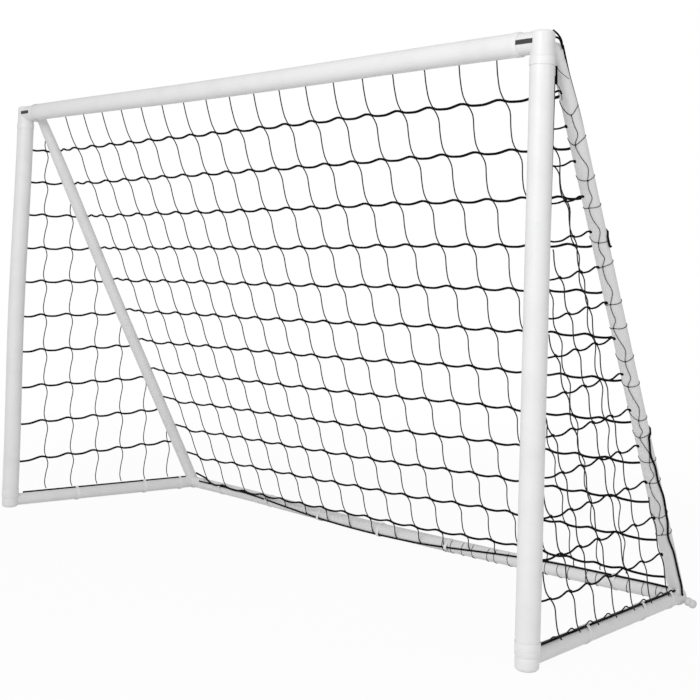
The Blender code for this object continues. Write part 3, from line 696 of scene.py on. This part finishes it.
clamps = {
    "width": 0.019,
    "bore": 0.0318,
    "rim": 0.0323,
    "crown": 0.0327,
    "necks": {"post_top": 0.0302, "post_foot": 0.0312, "crossbar": 0.0294},    # inside the roll
    "roll": 0.0034,
}


def clampRing(name, start, way, neck):
    # from the tube's end, which the roll covers, back over the tube
    bore, rim, crown, width = (clamps[key] for key in ("bore", "rim", "crown", "width"))
    outline = [(bore, width), (bore, -0.0004), (neck, -0.0004),
               *quarterRound(neck, 0.0008, rim - neck, -clamps["roll"], 8)]
    for i in range(1, 8):
        outline.append((rim + (crown - rim) * math.sin(math.pi * i / 8),
                        0.0012 + i / 8 * (width - 0.0032)))
    outline += [(rim - 0.0001, width - 0.0014), (rim + 0.0001, width - 0.0007),
                (rim - 0.0002, width)]
    ring = spun(name + "_band", outline, 96, start, way)
    settle(ring, 50)
    dress(ring, clampWhite, name)


for side, word in sideWords.items():
    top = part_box(word + "_post_top_clamp")[1][2]
    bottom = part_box(word + "_post_foot_clamp")[0][2]
    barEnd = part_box(word + "_crossbar_clamp")[side > 0][0]
    ends = {"post_top": (postEnd(side, 1, top), -up), "post_foot": (postEnd(side, 0, bottom), up),
            "crossbar": (Vector((barEnd, centre.y, crossbarZ)), -toRight * side)}
    for part, (start, way) in ends.items():
        clampRing(f"{word}_{part}_clamp", start, way, clamps["necks"][part])
print("clamps made")

# Plain patches on the crossbar's arms: a thin plate bent round the arm

patches = {
    "radius": 0.0292,
    "height": 0.0118,
    "thickness": 0.0007,
    "longer": 0.008,           # towards the middle of the crossbar
    "standOff": 0.0004,
    "round": 0.0016,
}


def patch(side, word):
    low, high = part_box(word + "_patch")
    startClean()
    bpy.ops.mesh.primitive_plane_add(size=1)
    plate = bpy.context.object
    plate.scale = (high[0] - low[0] + patches["longer"], patches["height"], 1)
    applyPlace(plate)
    editAll(plate)
    bpy.ops.mesh.bevel(offset=patches["round"], segments=4, affect="VERTICES")
    for place in range(-4, 5):
        bpy.ops.mesh.select_all(action="SELECT")
        bpy.ops.mesh.bisect(plane_co=(0, place * patches["height"] / 10, 0),
                            plane_no=(0, 1, 0))
    bpy.ops.object.mode_set(mode="OBJECT")
    middle = (low[0] + high[0] - side * patches["longer"]) / 2 + goal["postKick"][side][1]
    out = patches["radius"] + patches["standOff"]
    for vertex in plate.data.vertices:
        turn = vertex.co.y / patches["radius"]
        vertex.co = (middle + vertex.co.x, centre.y - out * math.cos(turn),
                     crossbarZ + out * math.sin(turn))
    thickened(plate, patches["thickness"], 0)
    closeUp(plate)
    plate.name = word + "_plain_patch"
    settle(plate, 35)
    dress(plate, patchDark, word + "_patch")


for side, word in sideWords.items():
    patch(side, word)
print("patches made")

# Net: rows of black twine, thinner columns, and a knot at each crossing. Each panel's rows
# and columns stand at slowly changing distances, so their places are short polynomials of
# the row's or column's number

net = {
    "rowRadius": {"rear": 0.0038, "left_side": 0.0042, "right_side": 0.0026},
    "columnRadius": 0.0019,
    "knot": 0.0043,
    "steps": 10,               # points from one knot to the next
    "rowLift": (0.00468, -0.064, 0.00104, 0.046, 0.00031, 0.027),
    "columnSway": (0.00712, 0.013, 0.00125, -0.028),
    "startOut": 0.0084,        # the rear cloth's top behind the crossbar's skin
    "reach": 1.706,            # the rear cloth from the crossbar to its lower rope
    "rowSag": ((0.15717, 0.14548, -0.00029), (-0.02231, -0.00132, 0.0),
               (-0.00706, -0.00203, -0.00032)),
    "columnPlace": ((0.20057, 0.12651, -0.00019), (-0.01059, 0.01492, -0.00078),
                    (-0.05877, 0.00966, -0.00068)),
    "rightDroop": ((0.0064, 0.86, 0.1), (0.0316, 0.82)),   # how the rows fall near the brace,
    "leftDroop": (0.012, 0.07),        # each amount with its place, a share of the width
    "rearLean": (58, 72, -30), # degrees forward from upright: overall, mid-run, at the right
    "columns": 19,
    "rows": 12,
    "wrap": {-1: 0.185, 1: 0.442},     # how far in from each brace the cloth bends
    "seed": 41,
}
dice = random.Random(net["seed"])

netTop = centre + Vector((0, goal["mainRadius"] + net["startOut"], crossbarZ))
slope = Vector((0, braceWay(1).y, braceWay(1).z)).normalized()
behindSlope = Vector((0, -slope.z, slope.y))


def towardsRearRope(x):
    # the rear rope has slipped down the tube's front in the middle of its run
    overall, mid, right = net["rearLean"]
    lean = overall + mid * bow((x + 0.95) / 1.8) + right * clamped((x - 0.2) / 0.6)
    return leaning(up, forward, lean)


def rearNetPoint(across, down):
    # across from the left brace, down from the crossbar, both measured on the cloth
    share = down / net["reach"]
    width = halfWidth - goal["rearInset"] * share
    x = (across / (2 * halfWidth) - 0.5) * 2 * width
    foot = centre + Vector((0, depth, baseZ)) + towardsRearRope(x) * ropeReach
    flat = netTop.lerp(foot, share)
    elbow = elbowPoint(1)
    elbow = Vector((flat.x, elbow.y, elbow.z))
    behind = elbow + slope * (flat - elbow).dot(slope) + behindSlope * goal["netOut"]
    near = min((width - abs(x)) / net["wrap"][1 if x > 0 else -1], 1)
    bend = bow(0.5 + x / (2 * width))
    place = flat.lerp(behind, math.cos(math.pi / 2 * near) ** 2)
    place.x = centre.x + x
    place.y -= goal["rearBow"] * bend * share
    place.z -= goal["crossbarSag"] * bend * (1 - share)
    return place


def columnAcross(number, share):
    return poly([poly(terms, number) for terms in net["columnPlace"]], share)


def rowDown(number, across):
    part = across / (2 * halfWidth)
    level, tilt, sag = (poly(terms, number) for terms in net["rowSag"])
    (bend, bendFrom, reach), (fall, fallFrom) = net["rightDroop"]
    droop, leftPart = net["leftDroop"]
    down = level + tilt * part + sag * bow(part)
    down += bend * clamped((part - bendFrom) / reach) ** 2 + fall * max(part - fallFrom, 0)
    down += droop * max(1 - part / leftPart, 0) ** 2
    return min(down, net["reach"] - 0.003)


def waveAt(terms, t):
    pairs = zip(terms[::2], terms[1::2])
    return sum(size * math.sin(math.tau * (i + 1) * (t + start))
               for i, (size, start) in enumerate(pairs))


def rowWave(t):
    return -waveAt(net["rowLift"], t)


def scattered(name, radius, places):
    # one mesh with a slightly turned copy of a knot at each place
    shape = ball((0, 0, 0), radius, 8, 6)
    shape.scale = (1.25, 0.85, 0.95)
    shape.rotation_euler = (0.2, 0.5, 0.3)
    applyPlace(shape)
    gathered = bmesh.new()
    for place in places:
        copy = shape.data.copy()
        turn = Matrix.Rotation(dice.uniform(-0.5, 0.5), 4, "Y")
        size = Matrix.Scale(dice.uniform(0.9, 1.12), 4)
        copy.transform(Matrix.Translation(place) @ turn @ size)
        gathered.from_mesh(copy)
        bpy.data.meshes.remove(copy)
    bpy.data.objects.remove(shape)
    mesh = bpy.data.meshes.new(name)
    gathered.to_mesh(mesh)
    gathered.free()
    return linked(name, mesh)


def twinePiece(name, node, parts):
    # strands and knots joined, each with its own twine
    for part, material in parts:
        paint(part, material)
    startClean()
    for part, material in parts:
        part.select_set(True)
    piece = parts[0][0]
    bpy.context.view_layer.objects.active = piece
    bpy.ops.object.join()
    piece.name = name
    settle(piece, 70)
    standFor(piece, node)


def netPiece(panel, rows, columns, knots):
    name = "net_" + panel
    twinePiece(name + "_knotted", name, (
        (sweptCord(name + "Rows", rows, net["rowRadius"][panel]), netBlack),
        (sweptCord(name + "Columns", columns, net["columnRadius"]), netGrey),
        (scattered(name + "Knots", net["knot"], knots), netBlack)))


def placesOn(stops):
    # from stop to stop: each place, its share of the gap and the gap
    for first, second in zip(stops, stops[1:]):
        for i in range(net["steps"]):
            t = i / net["steps"]
            yield first + (second - first) * t, t, second - first


def wavyRow(stops, place):
    # one wave to each mesh
    line = [place(run, rowWave(t) * min(gap / 0.1, 1) ** 2) for run, t, gap in placesOn(stops)]
    return line + [place(stops[-1], rowWave(0) * 0.5)]


def rearCrossing(row, column):
    share = 0.5
    for attempt in range(4):
        across = columnAcross(column, share)
        down = rowDown(row, across)
        share = down / net["reach"]
    return across, down


def rearNet():
    rows = []
    columns = []
    knots = []
    edge = 2 * halfWidth
    crossings = {(row, column): rearCrossing(row, column)
                 for row in range(net["rows"]) for column in range(-1, net["columns"])}
    for row in range(net["rows"]):
        stops = [crossings[row, column][0] for column in range(-1, net["columns"])]
        stops = [0.0] + [across for across in stops if 0.02 < across < edge - 0.02] + [edge]
        rows.append(wavyRow(stops, lambda across, lift: rearNetPoint(
            across, rowDown(row, across) - lift)))
        for column in range(net["columns"]):
            across, down = crossings[row, column]
            if 0.02 < across < edge - 0.02:
                knots.append(rearNetPoint(across, down - rowWave(0)))
    for column in range(net["columns"]):
        stops = [0.0] + [crossings[row, column][1] for row in range(net["rows"])] + [net["reach"]]
        places = []
        for down, t, gap in placesOn(stops):
            phase = 1 - 0.87 * (1 - t) if down < stops[1] else t
            sway = waveAt(net["columnSway"], phase) * min(gap / 0.1, 1)
            places.append((columnAcross(column, down / net["reach"]) + sway, down))
        places.append((columnAcross(column, 1), net["reach"]))
        line = [rearNetPoint(*place) for place in places if 0.01 < place[0] < edge - 0.01]
        if len(line) > net["steps"]:
            columns.append(line)
    netPiece("rear", rows, columns, knots)


rearNet()
print("rear net made")

# Side panels: rows that rise towards the brace and end at its front edge, columns that lean,
# and on the right base tube a row of loops that hangs the cloth on its rope

sidePanels = {
    -1: {"rows": (0.17092, 0.14947, -0.00122), "rise": (0.04628, -0.00445), "rowCount": 10,
         "columns": (0.16957, 0.1149, 0.00006), "lean": 0.04381, "columnCount": 7},
    1: {"rows": (0.16216, 0.10276, -0.00044), "rise": (0.02845, 0.01738), "rowCount": 13,
        "columns": (0.15269, 0.09298, 0.00153), "lean": 0.49554, "columnCount": 8},
    "rowEnd": (0.7779, -0.5211),       # the run of a right row's end, from its height
    "leftEnd": 0.018,                  # a left row's end behind the brace's axis
    "postRun": 0.034,
    "postOut": 0.0145,                 # the cloth starts nearer to the post's back
    "outReach": 0.03,                  # and soon comes out from there
    "bentPart": (0.05, 0.045, 0.9),    # of a bowed post and its cloth: off the ground, off
                                       # the crossbar's axis, and the run that it fades in
    "loops": 1.5,                      # the loops' height, beside the rows' waves
    "loopPlace": (0.010, 0.0280),      # outward and up from the base tube's axis
}


def panelPoint(side, run, height):
    near = math.exp(-max(run - sidePanels["postRun"], 0) / sidePanels["outReach"])
    place = sidePoint(side, run, height, goal["netOut"] - sidePanels["postOut"] * near)
    low, high, reach = sidePanels["bentPart"]
    bent = goal["postBow"][side] * bow((height - low) / (crossbarZ - high - low))
    return place - toRight * bent * (1 - run / reach)


def lastRun(side, height):
    # where a row at this height ends
    if side > 0:
        return poly(sidePanels["rowEnd"], height)
    top = crossbarZ - goal["elbowDown"]
    share = (top - height) / (top - baseZ)
    return goal["elbowBack"] + (sideLength - goal["elbowBack"]) * share + sidePanels["leftEnd"]


def sideNet(side, word):
    size = sidePanels[side]
    startRun = sidePanels["postRun"]
    rows = []
    columns = []
    knots = []
    crossings = {}

    def rowHeight(row, run):
        return poly(size["rows"], row) + poly(size["rise"], row) * run

    def columnRun(column, height):
        return poly(size["columns"], column) - size["lean"] * height

    for row in range(size["rowCount"]):
        for column in range(size["columnCount"]):
            height = poly(size["rows"], row)
            for attempt in range(4):
                run = columnRun(column, height)
                height = rowHeight(row, run)
            crossings[row, column] = (run, height)
    for row in range(size["rowCount"]):
        end = 0.3
        for attempt in range(8):
            end = lastRun(side, rowHeight(row, end))
        if end < startRun + 0.02:
            continue
        stops = [crossings[row, column][0] for column in range(size["columnCount"])]
        stops = [run for run in stops if startRun + 0.01 < run < end - 0.02] + [end]
        rows.append(wavyRow([startRun] + stops, lambda run, lift: panelPoint(
            side, run, rowHeight(row, run) + lift)))
        knots += [panelPoint(side, run, rowHeight(row, run) + rowWave(0)) for run in stops]
    bottom = baseZ + goal["smallRadius"] + 0.004
    for column in range(size["columnCount"]):
        heights = [bottom] + [crossings[row, column][1] for row in range(size["rowCount"])]
        heights.append(heights[-1] + 0.12)
        line = []
        for height, t, gap in placesOn(heights):
            run = columnRun(column, height)
            if startRun < run < lastRun(side, height) - 0.003:
                sway = waveAt(net["columnSway"], 1 - t)
                line.append(panelPoint(side, run + sway, height))
        if len(line) > net["steps"]:
            columns.append(line)
    if side > 0:
        out, rise = sidePanels["loopPlace"]
        stops = [columnRun(column, bottom) for column in range(size["columnCount"])]
        stops = [0.06] + [run for run in stops if run < sideLength - 0.09] + [sideLength - 0.06]
        columns.append(wavyRow(stops, lambda run, lift: sidePoint(
            side, run, baseZ + rise + max(lift, 0) * sidePanels["loops"], out)))
    netPiece(word + "_side", rows, columns, knots)


for side, word in sideWords.items():
    sideNet(side, word)
print("side nets made")

# Border ropes. The brace ropes wander round their tubes: each pair is the length from the
# elbow and the angle from straight outward, towards the rear

ropes = {
    "radius": 0.0030,
    "postTurn": 18,            # degrees from straight back, outward
    "postBend": (0.12, 1.33),  # the post's bowed part: its foot and its length
    "baseTurn": 19,            # degrees from straight up, outward
    "baseEnds": (0.058, 0.038),        # from the post's axis and from the rear corner
    "topRun": 2.22,            # the crossbar's sagging part
    "rearOver": 0.045,         # the rear rope's end over the right corner's shoulder
    "braceTurns": {
        -1: ((0.10, 38), (0.60, 45), (0.90, 62), (1.66, 66)),
        1: ((-0.004, 56), (0.09, 68), (0.16, 69), (0.34, 74), (0.505, 80), (0.525, 2),
            (0.55, 3), (0.57, 80), (1.125, 82), (1.15, -20), (1.204, -34), (1.254, -19),
            (1.29, -22), (1.36, -2), (1.43, -13), (1.49, -36), (1.56, -19), (1.625, -18),
            (1.665, -15), (1.705, -24)),
    },
}


def borderRope(word, first, last, parts, place):
    # place gives a point for each value from first to last
    points = [place(first + (last - first) * i / parts) for i in range(parts + 1)]
    piece = sweptCord(f"net_{word}_border", [points], ropes["radius"], 10)
    settle(piece, 70)
    dress(piece, ropeBlack, f"net_{word}_rope")


def turnAt(turns, run):
    # eased from one pair to the next
    for (first, start), (second, end) in zip(turns, turns[1:]):
        if run <= second:
            break
    share = clamped((run - first) / (second - first))
    return start + (end - start) * (3 * share ** 2 - 2 * share ** 3)


def bracePoint(side, run, degrees, off):
    # a place round the brace, off its axis
    rearward = wayOut(side).cross(braceWay(side)).normalized() * side
    return (elbowPoint(side) + braceWay(side) * run + braceDrift(side, run)
            + leaning(wayOut(side), rearward, degrees) * (off - braceNeck(run)))


def baseLean(side):
    return leaning(up, wayOut(side), ropes["baseTurn"])


def rearAxis(x):
    # the rear tube's axis at x, measured from the middle of the goal
    half = halfWidth - goal["rearInset"] - rearCorners["shoulderRun"] - goal["straightEnd"]
    bend = bow((x + half) / (2 * half)) ** (goal["bend"] if x > 0 else 1)
    return centre + Vector((x, depth - goal["rearBow"] * bend, baseZ))


mainOff = goal["mainRadius"] + goal["ropeSeat"]
bendFrom, bendRun = ropes["postBend"]
for side, word in sideWords.items():
    low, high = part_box(f"net_{word}_post_rope")
    off = leaning(wayBack(side), wayOut(side), ropes["postTurn"]) * mainOff
    borderRope(word + "_post", low[2], high[2], 60, lambda height: postAxis(side, height) + off
               - toRight * goal["postBow"][side] * bow((height - bendFrom) / bendRun))
    turns = ropes["braceTurns"][side]
    borderRope(word + "_brace", turns[0][0], turns[-1][0], 240,
               lambda run: bracePoint(side, run, turnAt(turns, run), ropeReach))
    start, end = ropes["baseEnds"]
    borderRope(word + "_base", start, sideLength - end, 40,
               lambda run: sidePoint(side, run, baseZ) + baseLean(side) * ropeReach)
low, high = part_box("net_top_rope")
borderRope("top", low[0], high[0], 60, lambda x: Vector((
    x, centre.y + mainOff,
    crossbarZ - goal["crossbarSag"] * bow((x - centre.x) / ropes["topRun"] + 0.5))))
low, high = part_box("net_rear_rope")
borderRope("rear", low[0] - centre.x, high[0] - centre.x + ropes["rearOver"], 120,
           lambda x: rearAxis(x) + towardsRearRope(x) * ropeReach)
print("ropes made")

# Lacing: thin cords round the right brace from the cloth's edge knots, with a wandering cord
# that ties them, thin cords round the rear tube, and the heavy cords at the right top corner

lacing = {
    "radius": 0.0009,
    "starts": (0.136, 0.239, 0.344, 0.435, 0.521, 0.614, 0.724, 0.798, 0.881, 0.969, 1.052,
               1.131, 1.219, 1.303, 1.409, 1.491),       # lengths down the brace
    "falls": (0.034, 0.012, 0.009, -0.006, 0.010, -0.012, -0.008, -0.008, 0.014, 0.006),
    "rises": (0.012, 0.010, -0.003, -0.004, 0.002),
    "turns": (-62, -80, -52, -82, -70, -77, -80, -96, -66, -84),      # degrees, each knot's
    "around": (-155, 34, 92),  # degrees: a cord's start, its inner bend and its end
    "knot": 0.0021,
    "rearTurn": (26, 170),     # degrees from straight up: a rear cord's start and sweep
    "rearFrom": 0.30,          # the rear tube's cords, from the middle of the goal
    "rearPitch": 0.048,
    "rearCount": 18,
    "rearLast": 1.17,
    "heavy": 0.0027,
    "corner": (
        ((0.0017, 0.0316, 1.5904), (0.0080, 0.0420, 1.5820), (0.0150, 0.0470, 1.5700),
         (0.0184, 0.0483, 1.5584), (0.0190, 0.0500, 1.5480)),
        ((0.0040, 0.0350, 1.5740), (0.0130, 0.0440, 1.5690), (0.0175, 0.0480, 1.5560),
         (0.0205, 0.0505, 1.5440)),
        ((0.0099, 0.0399, 1.4999), (0.0104, 0.0404, 1.4800), (0.0109, 0.0409, 1.4545)),
        ((0.0000, 0.0310, 1.4290), (0.0052, 0.0352, 1.4315), (0.0140, 0.0439, 1.4370),
         (0.0180, 0.0480, 1.4360), (0.0200, 0.0500, 1.4310)),
        ((0.0000, 0.0310, 1.4180), (0.0055, 0.0355, 1.4189), (0.0160, 0.0460, 1.4245)),
    ),                         # from the right post's axis, heights from the ground
    "thin": (
        ((0.0109, 0.0409, 1.4980), (0.0160, 0.0450, 1.4870), (0.0329, 0.0628, 1.4682)),
        ((0.0109, 0.0409, 1.4560), (0.0190, 0.0490, 1.4370), (0.0215, 0.0520, 1.4140)),
    ),
}


def eased(points, parts=6):
    # a smooth line through the points
    line = []
    ends = [points[0]] + list(points) + [points[-1]]
    for a, b, c, d in zip(ends, ends[1:], ends[2:], ends[3:]):
        for i in range(parts):
            t = i / parts
            line.append((b * 2 + (c - a) * t + (a * 2 - b * 5 + c * 4 - d) * t * t
                         + (b * 3 - a - c * 3 + d) * t ** 3) / 2)
    return line + [points[-1]]


def roundBrace(points, parts, off):
    # points are Vectors of degrees round the right brace and length down it
    return [bracePoint(1, place.y, place.x, off) for place in eased(points, parts)]


def fromPost(lines):
    return [eased([postAxis(1) + Vector(place) for place in line]) for line in lines]


def braceLacing():
    off = goal["smallRadius"] + lacing["radius"] + 0.0003
    cords = []
    knots = []
    tie = []
    begin, inner, end = lacing["around"]
    for number, start in enumerate(lacing["starts"]):
        fall = lacing["falls"][number % len(lacing["falls"])]
        middle = lacing["turns"][number % len(lacing["turns"])]
        rise = lacing["rises"][number] if number < 2 else lacing["rises"][2 + number % 3]
        knot = start + fall
        turns = ((begin, start - 0.004), ((middle - 150) / 2, start + fall * 0.55),
                 (middle, knot), ((middle + 30) / 2, knot - rise), (inner, knot - rise * 1.3),
                 (end, knot))
        cords.append(roundBrace([Vector((turn, run, 0)) for turn, run in turns], 5, off))
        knots.append(bracePoint(1, knot, middle, off + 0.0005))
        tie.append(Vector((middle, knot, 0)))
    wander = []
    for first, second in zip(tie, tie[1:]):
        wander += [first, first.lerp(second, 0.33) + toRight * dice.uniform(0, 12),
                   first.lerp(second, 0.67) + toRight * dice.uniform(18, 34)]
    cords.append(roundBrace(wander + [tie[-1]], 4, off + 0.0006))
    begin, sweep = lacing["rearTurn"]
    for number in range(lacing["rearCount"]):
        x = lacing["rearFrom"] + lacing["rearPitch"] * number + dice.uniform(-0.011, 0.011)
        drift = dice.uniform(-0.012, 0.012)
        line = []
        for i in range(13):
            around = leaning(up, forward, begin + sweep * i / 12)
            line.append(rearAxis(min(x + drift * (i / 12) ** 2, lacing["rearLast"]))
                        + around * off)
        cords.append(line)
        if number % 3 == 0:
            knots.append(line[8])
    heavy = fromPost(lacing["corner"])
    knots += [line[-1] for line in heavy]
    twinePiece("right_brace_lacing", "net_right_side", (
        (sweptCord("lacing", cords + fromPost(lacing["thin"]), lacing["radius"]), netGrey),
        (sweptCord("cornerCords", heavy, lacing["heavy"], 8), netBlack),
        (scattered("lacingKnots", lacing["knot"], knots), netBlack)))


braceLacing()
print("brace lacing made")

# Hook and loop straps: a band round the tube and its rope, its end lapped over the start

straps = {
    "width": 0.012,
    "thickness": 0.0011,
    "seat": 0.0229,
    "bulge": 0.0066,
    "spread": 25.5,            # degrees, the half width of the bulge over the rope
    "lap": 48,                 # degrees of overlap
    "lapFrom": 165,
    "lapRise": 8,              # degrees in which the end climbs over the start
    "baseBack": 0.017,         # the base straps sit a little nearer to the post
    "steps": 96,
}


def strap(node, middle, way, towardsRope):
    size = straps
    way = way.normalized()
    across = way.cross(towardsRope).normalized()
    towardsRope = across.cross(way).normalized()
    total = 360 + size["lap"]
    startClean()
    bpy.ops.mesh.primitive_grid_add(x_subdivisions=size["steps"], y_subdivisions=4, size=1)
    band = bpy.context.object
    for vertex in band.data.vertices:
        share = vertex.co.x + 0.5
        degrees = size["lapFrom"] + total * share
        turn = (degrees + 180) % 360 - 180
        over = clamped((share * total - 360) / size["lapRise"])
        radius = size["seat"] + size["bulge"] * math.exp(-(turn / size["spread"]) ** 2)
        radius += over * (size["thickness"] + 0.0002)
        vertex.co = (middle + way * (vertex.co.y * size["width"] * (1 - 0.06 * over))
                     + leaning(towardsRope, across, degrees) * radius)
    thickened(band, size["thickness"], 1)
    closeUp(band)
    bevelEdges(band, 0.0003, 50)
    band.name = node + "_tape"
    settle(band, 50)
    dress(band, webWhite, node)


for side, word in sideWords.items():
    for number in (1, 2, 3):
        node = f"{word}_base_strap_{number}"
        run = (middleOf(node).y - centre.y) / wayBack(side).y - straps["baseBack"]
        strap(node, sidePoint(side, run, baseZ), wayBack(side), baseLean(side))
number = 1
while f"rear_strap_{number}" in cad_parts:
    node = f"rear_strap_{number}"
    x = middleOf(node).x - centre.x
    strap(node, rearAxis(x), rearAxis(x + 0.01) - rearAxis(x - 0.01), towardsRearRope(x))
    number += 1
print("straps made")

# Valve and cap

valve = {
    "droop": 15,               # degrees below level
    "sides": 96,
    "capStart": 0.0088,        # past the tube's skin
    "capLength": 0.0310,
    "hollow": (0.0075, 0.0185),        # radius and depth
    "dome": (0.0040, 0.0218, 0.0086, 0.0092),  # its middle, then its two radii
    "waist": ((0.0128, 0.0190), (0.0121, 0.0155), (0.0112, 0.0128), (0.0120, 0.0102),
              (0.0131, 0.0066), (0.0126, 0.0026), (0.0112, 0)),
}


def valveCap():
    bore, deep = valve["hollow"]
    outline = [(0, valve["capLength"]), *quarterRound(*valve["dome"]), *valve["waist"],
               (bore, 0), (bore, deep), (0, deep)]
    start = goal["smallRadius"] + valve["capStart"]
    cap = spun("valve_screw_cap", [(radius, start + height) for radius, height in outline],
               valve["sides"], rearPoint(1), leaning(toRight, -up, valve["droop"]))
    settle(cap, 40)
    dress(cap, valveGrey, "valve_cap", "cap")


valveCap()
for node, material in (("valve_body", valveGrey), ("valve_poppet", valveGrey),
                       ("valve_seal", sealBlack), ("cap_gasket", sealBlack),
                       ("valve_spring", springMetal)):
    paint(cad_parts[node], material)
print("valve made")

# Floor, backdrop and light

studio = {
    "floor": 30.0,
    "floorDrop": 0.0005,       # just clear of what stands on it
    "floorGrey": 0.82,
    "floorShare": 0.95,        # how much of the floor is pure white near the object
    "fadeFrom": 1.6,
    "fadeTo": 4.5,             # and all of it from here on
    "world": 0.53,
    "white": 1.0,
    "lamps": (                 # name, place, target, size, power
        ("keySoft", (1.7, -4.8, 2.9), (0.6, 0.0, 0.8), 2.4, 92),
        ("rightSoft", (4.0, -1.8, 2.6), (0.9, 0.1, 0.8), 2.2, 14),
    ),
}


def addMath(kind, operation, *sources):
    node = addNode(sources[0].id_data, kind, {}, dict(enumerate(sources)))
    node.operation = operation
    return node.outputs["Value"]


def pureWhite(name):
    # white to the camera and in mirrors, with the object's shadow left on it
    material = bpy.data.materials.new(name)
    material.use_nodes = True
    tree = material.node_tree
    tree.nodes.clear()
    path = addNode(tree, "ShaderNodeLightPath").outputs
    place = addNode(tree, "ShaderNodeTexCoord").outputs["Object"]
    fade = spread(addMath("ShaderNodeVectorMath", "LENGTH", place), studio["floorShare"], 1.0,
                  studio["fadeFrom"], studio["fadeTo"])
    seen = addMath("ShaderNodeMath", "MAXIMUM", path["Is Camera Ray"], path["Is Glossy Ray"])
    share = addMath("ShaderNodeMath", "MULTIPLY", seen, fade)
    grey = studio["floorGrey"]
    matt = addNode(tree, "ShaderNodeBsdfDiffuse", {"Color": (grey, grey, grey, 1)})
    glow = addNode(tree, "ShaderNodeEmission",
                   {"Color": (1, 1, 1, 1), "Strength": studio["white"]})
    mix = addNode(tree, "ShaderNodeMixShader", {},
                  {0: share, 1: matt.outputs["BSDF"], 2: glow.outputs["Emission"]})
    addNode(tree, "ShaderNodeOutputMaterial", {}, {"Surface": mix.outputs["Shader"]})
    return material


startClean()
bpy.ops.mesh.primitive_plane_add(size=studio["floor"], location=(0, 0, -studio["floorDrop"]))
floor = bpy.context.object
floor.name = "studio_floor"
applyPlace(floor)
floor.data.materials.append(pureWhite("floorWhite"))

world = bpy.data.worlds.new("studioWorld")
bpy.context.scene.world = world
world.use_nodes = True
tree = world.node_tree
background = tree.nodes["Background"]
background.inputs["Color"].default_value = (1, 1, 1, 1)
seen = addNode(tree, "ShaderNodeLightPath").outputs["Is Camera Ray"]
level = spread(seen, studio["world"], studio["white"], 0.0, 1.0)
tree.links.new(level, background.inputs["Strength"])

for name, place, target, size, power in studio["lamps"]:
    bpy.ops.object.light_add(type="AREA", location=place)
    lamp = bpy.context.object
    lamp.name = name
    lamp.data.size = size
    lamp.data.energy = power
    lamp.rotation_euler = (Vector(target) - Vector(place)).to_track_quat("-Z", "Y").to_euler()
print("stage set")
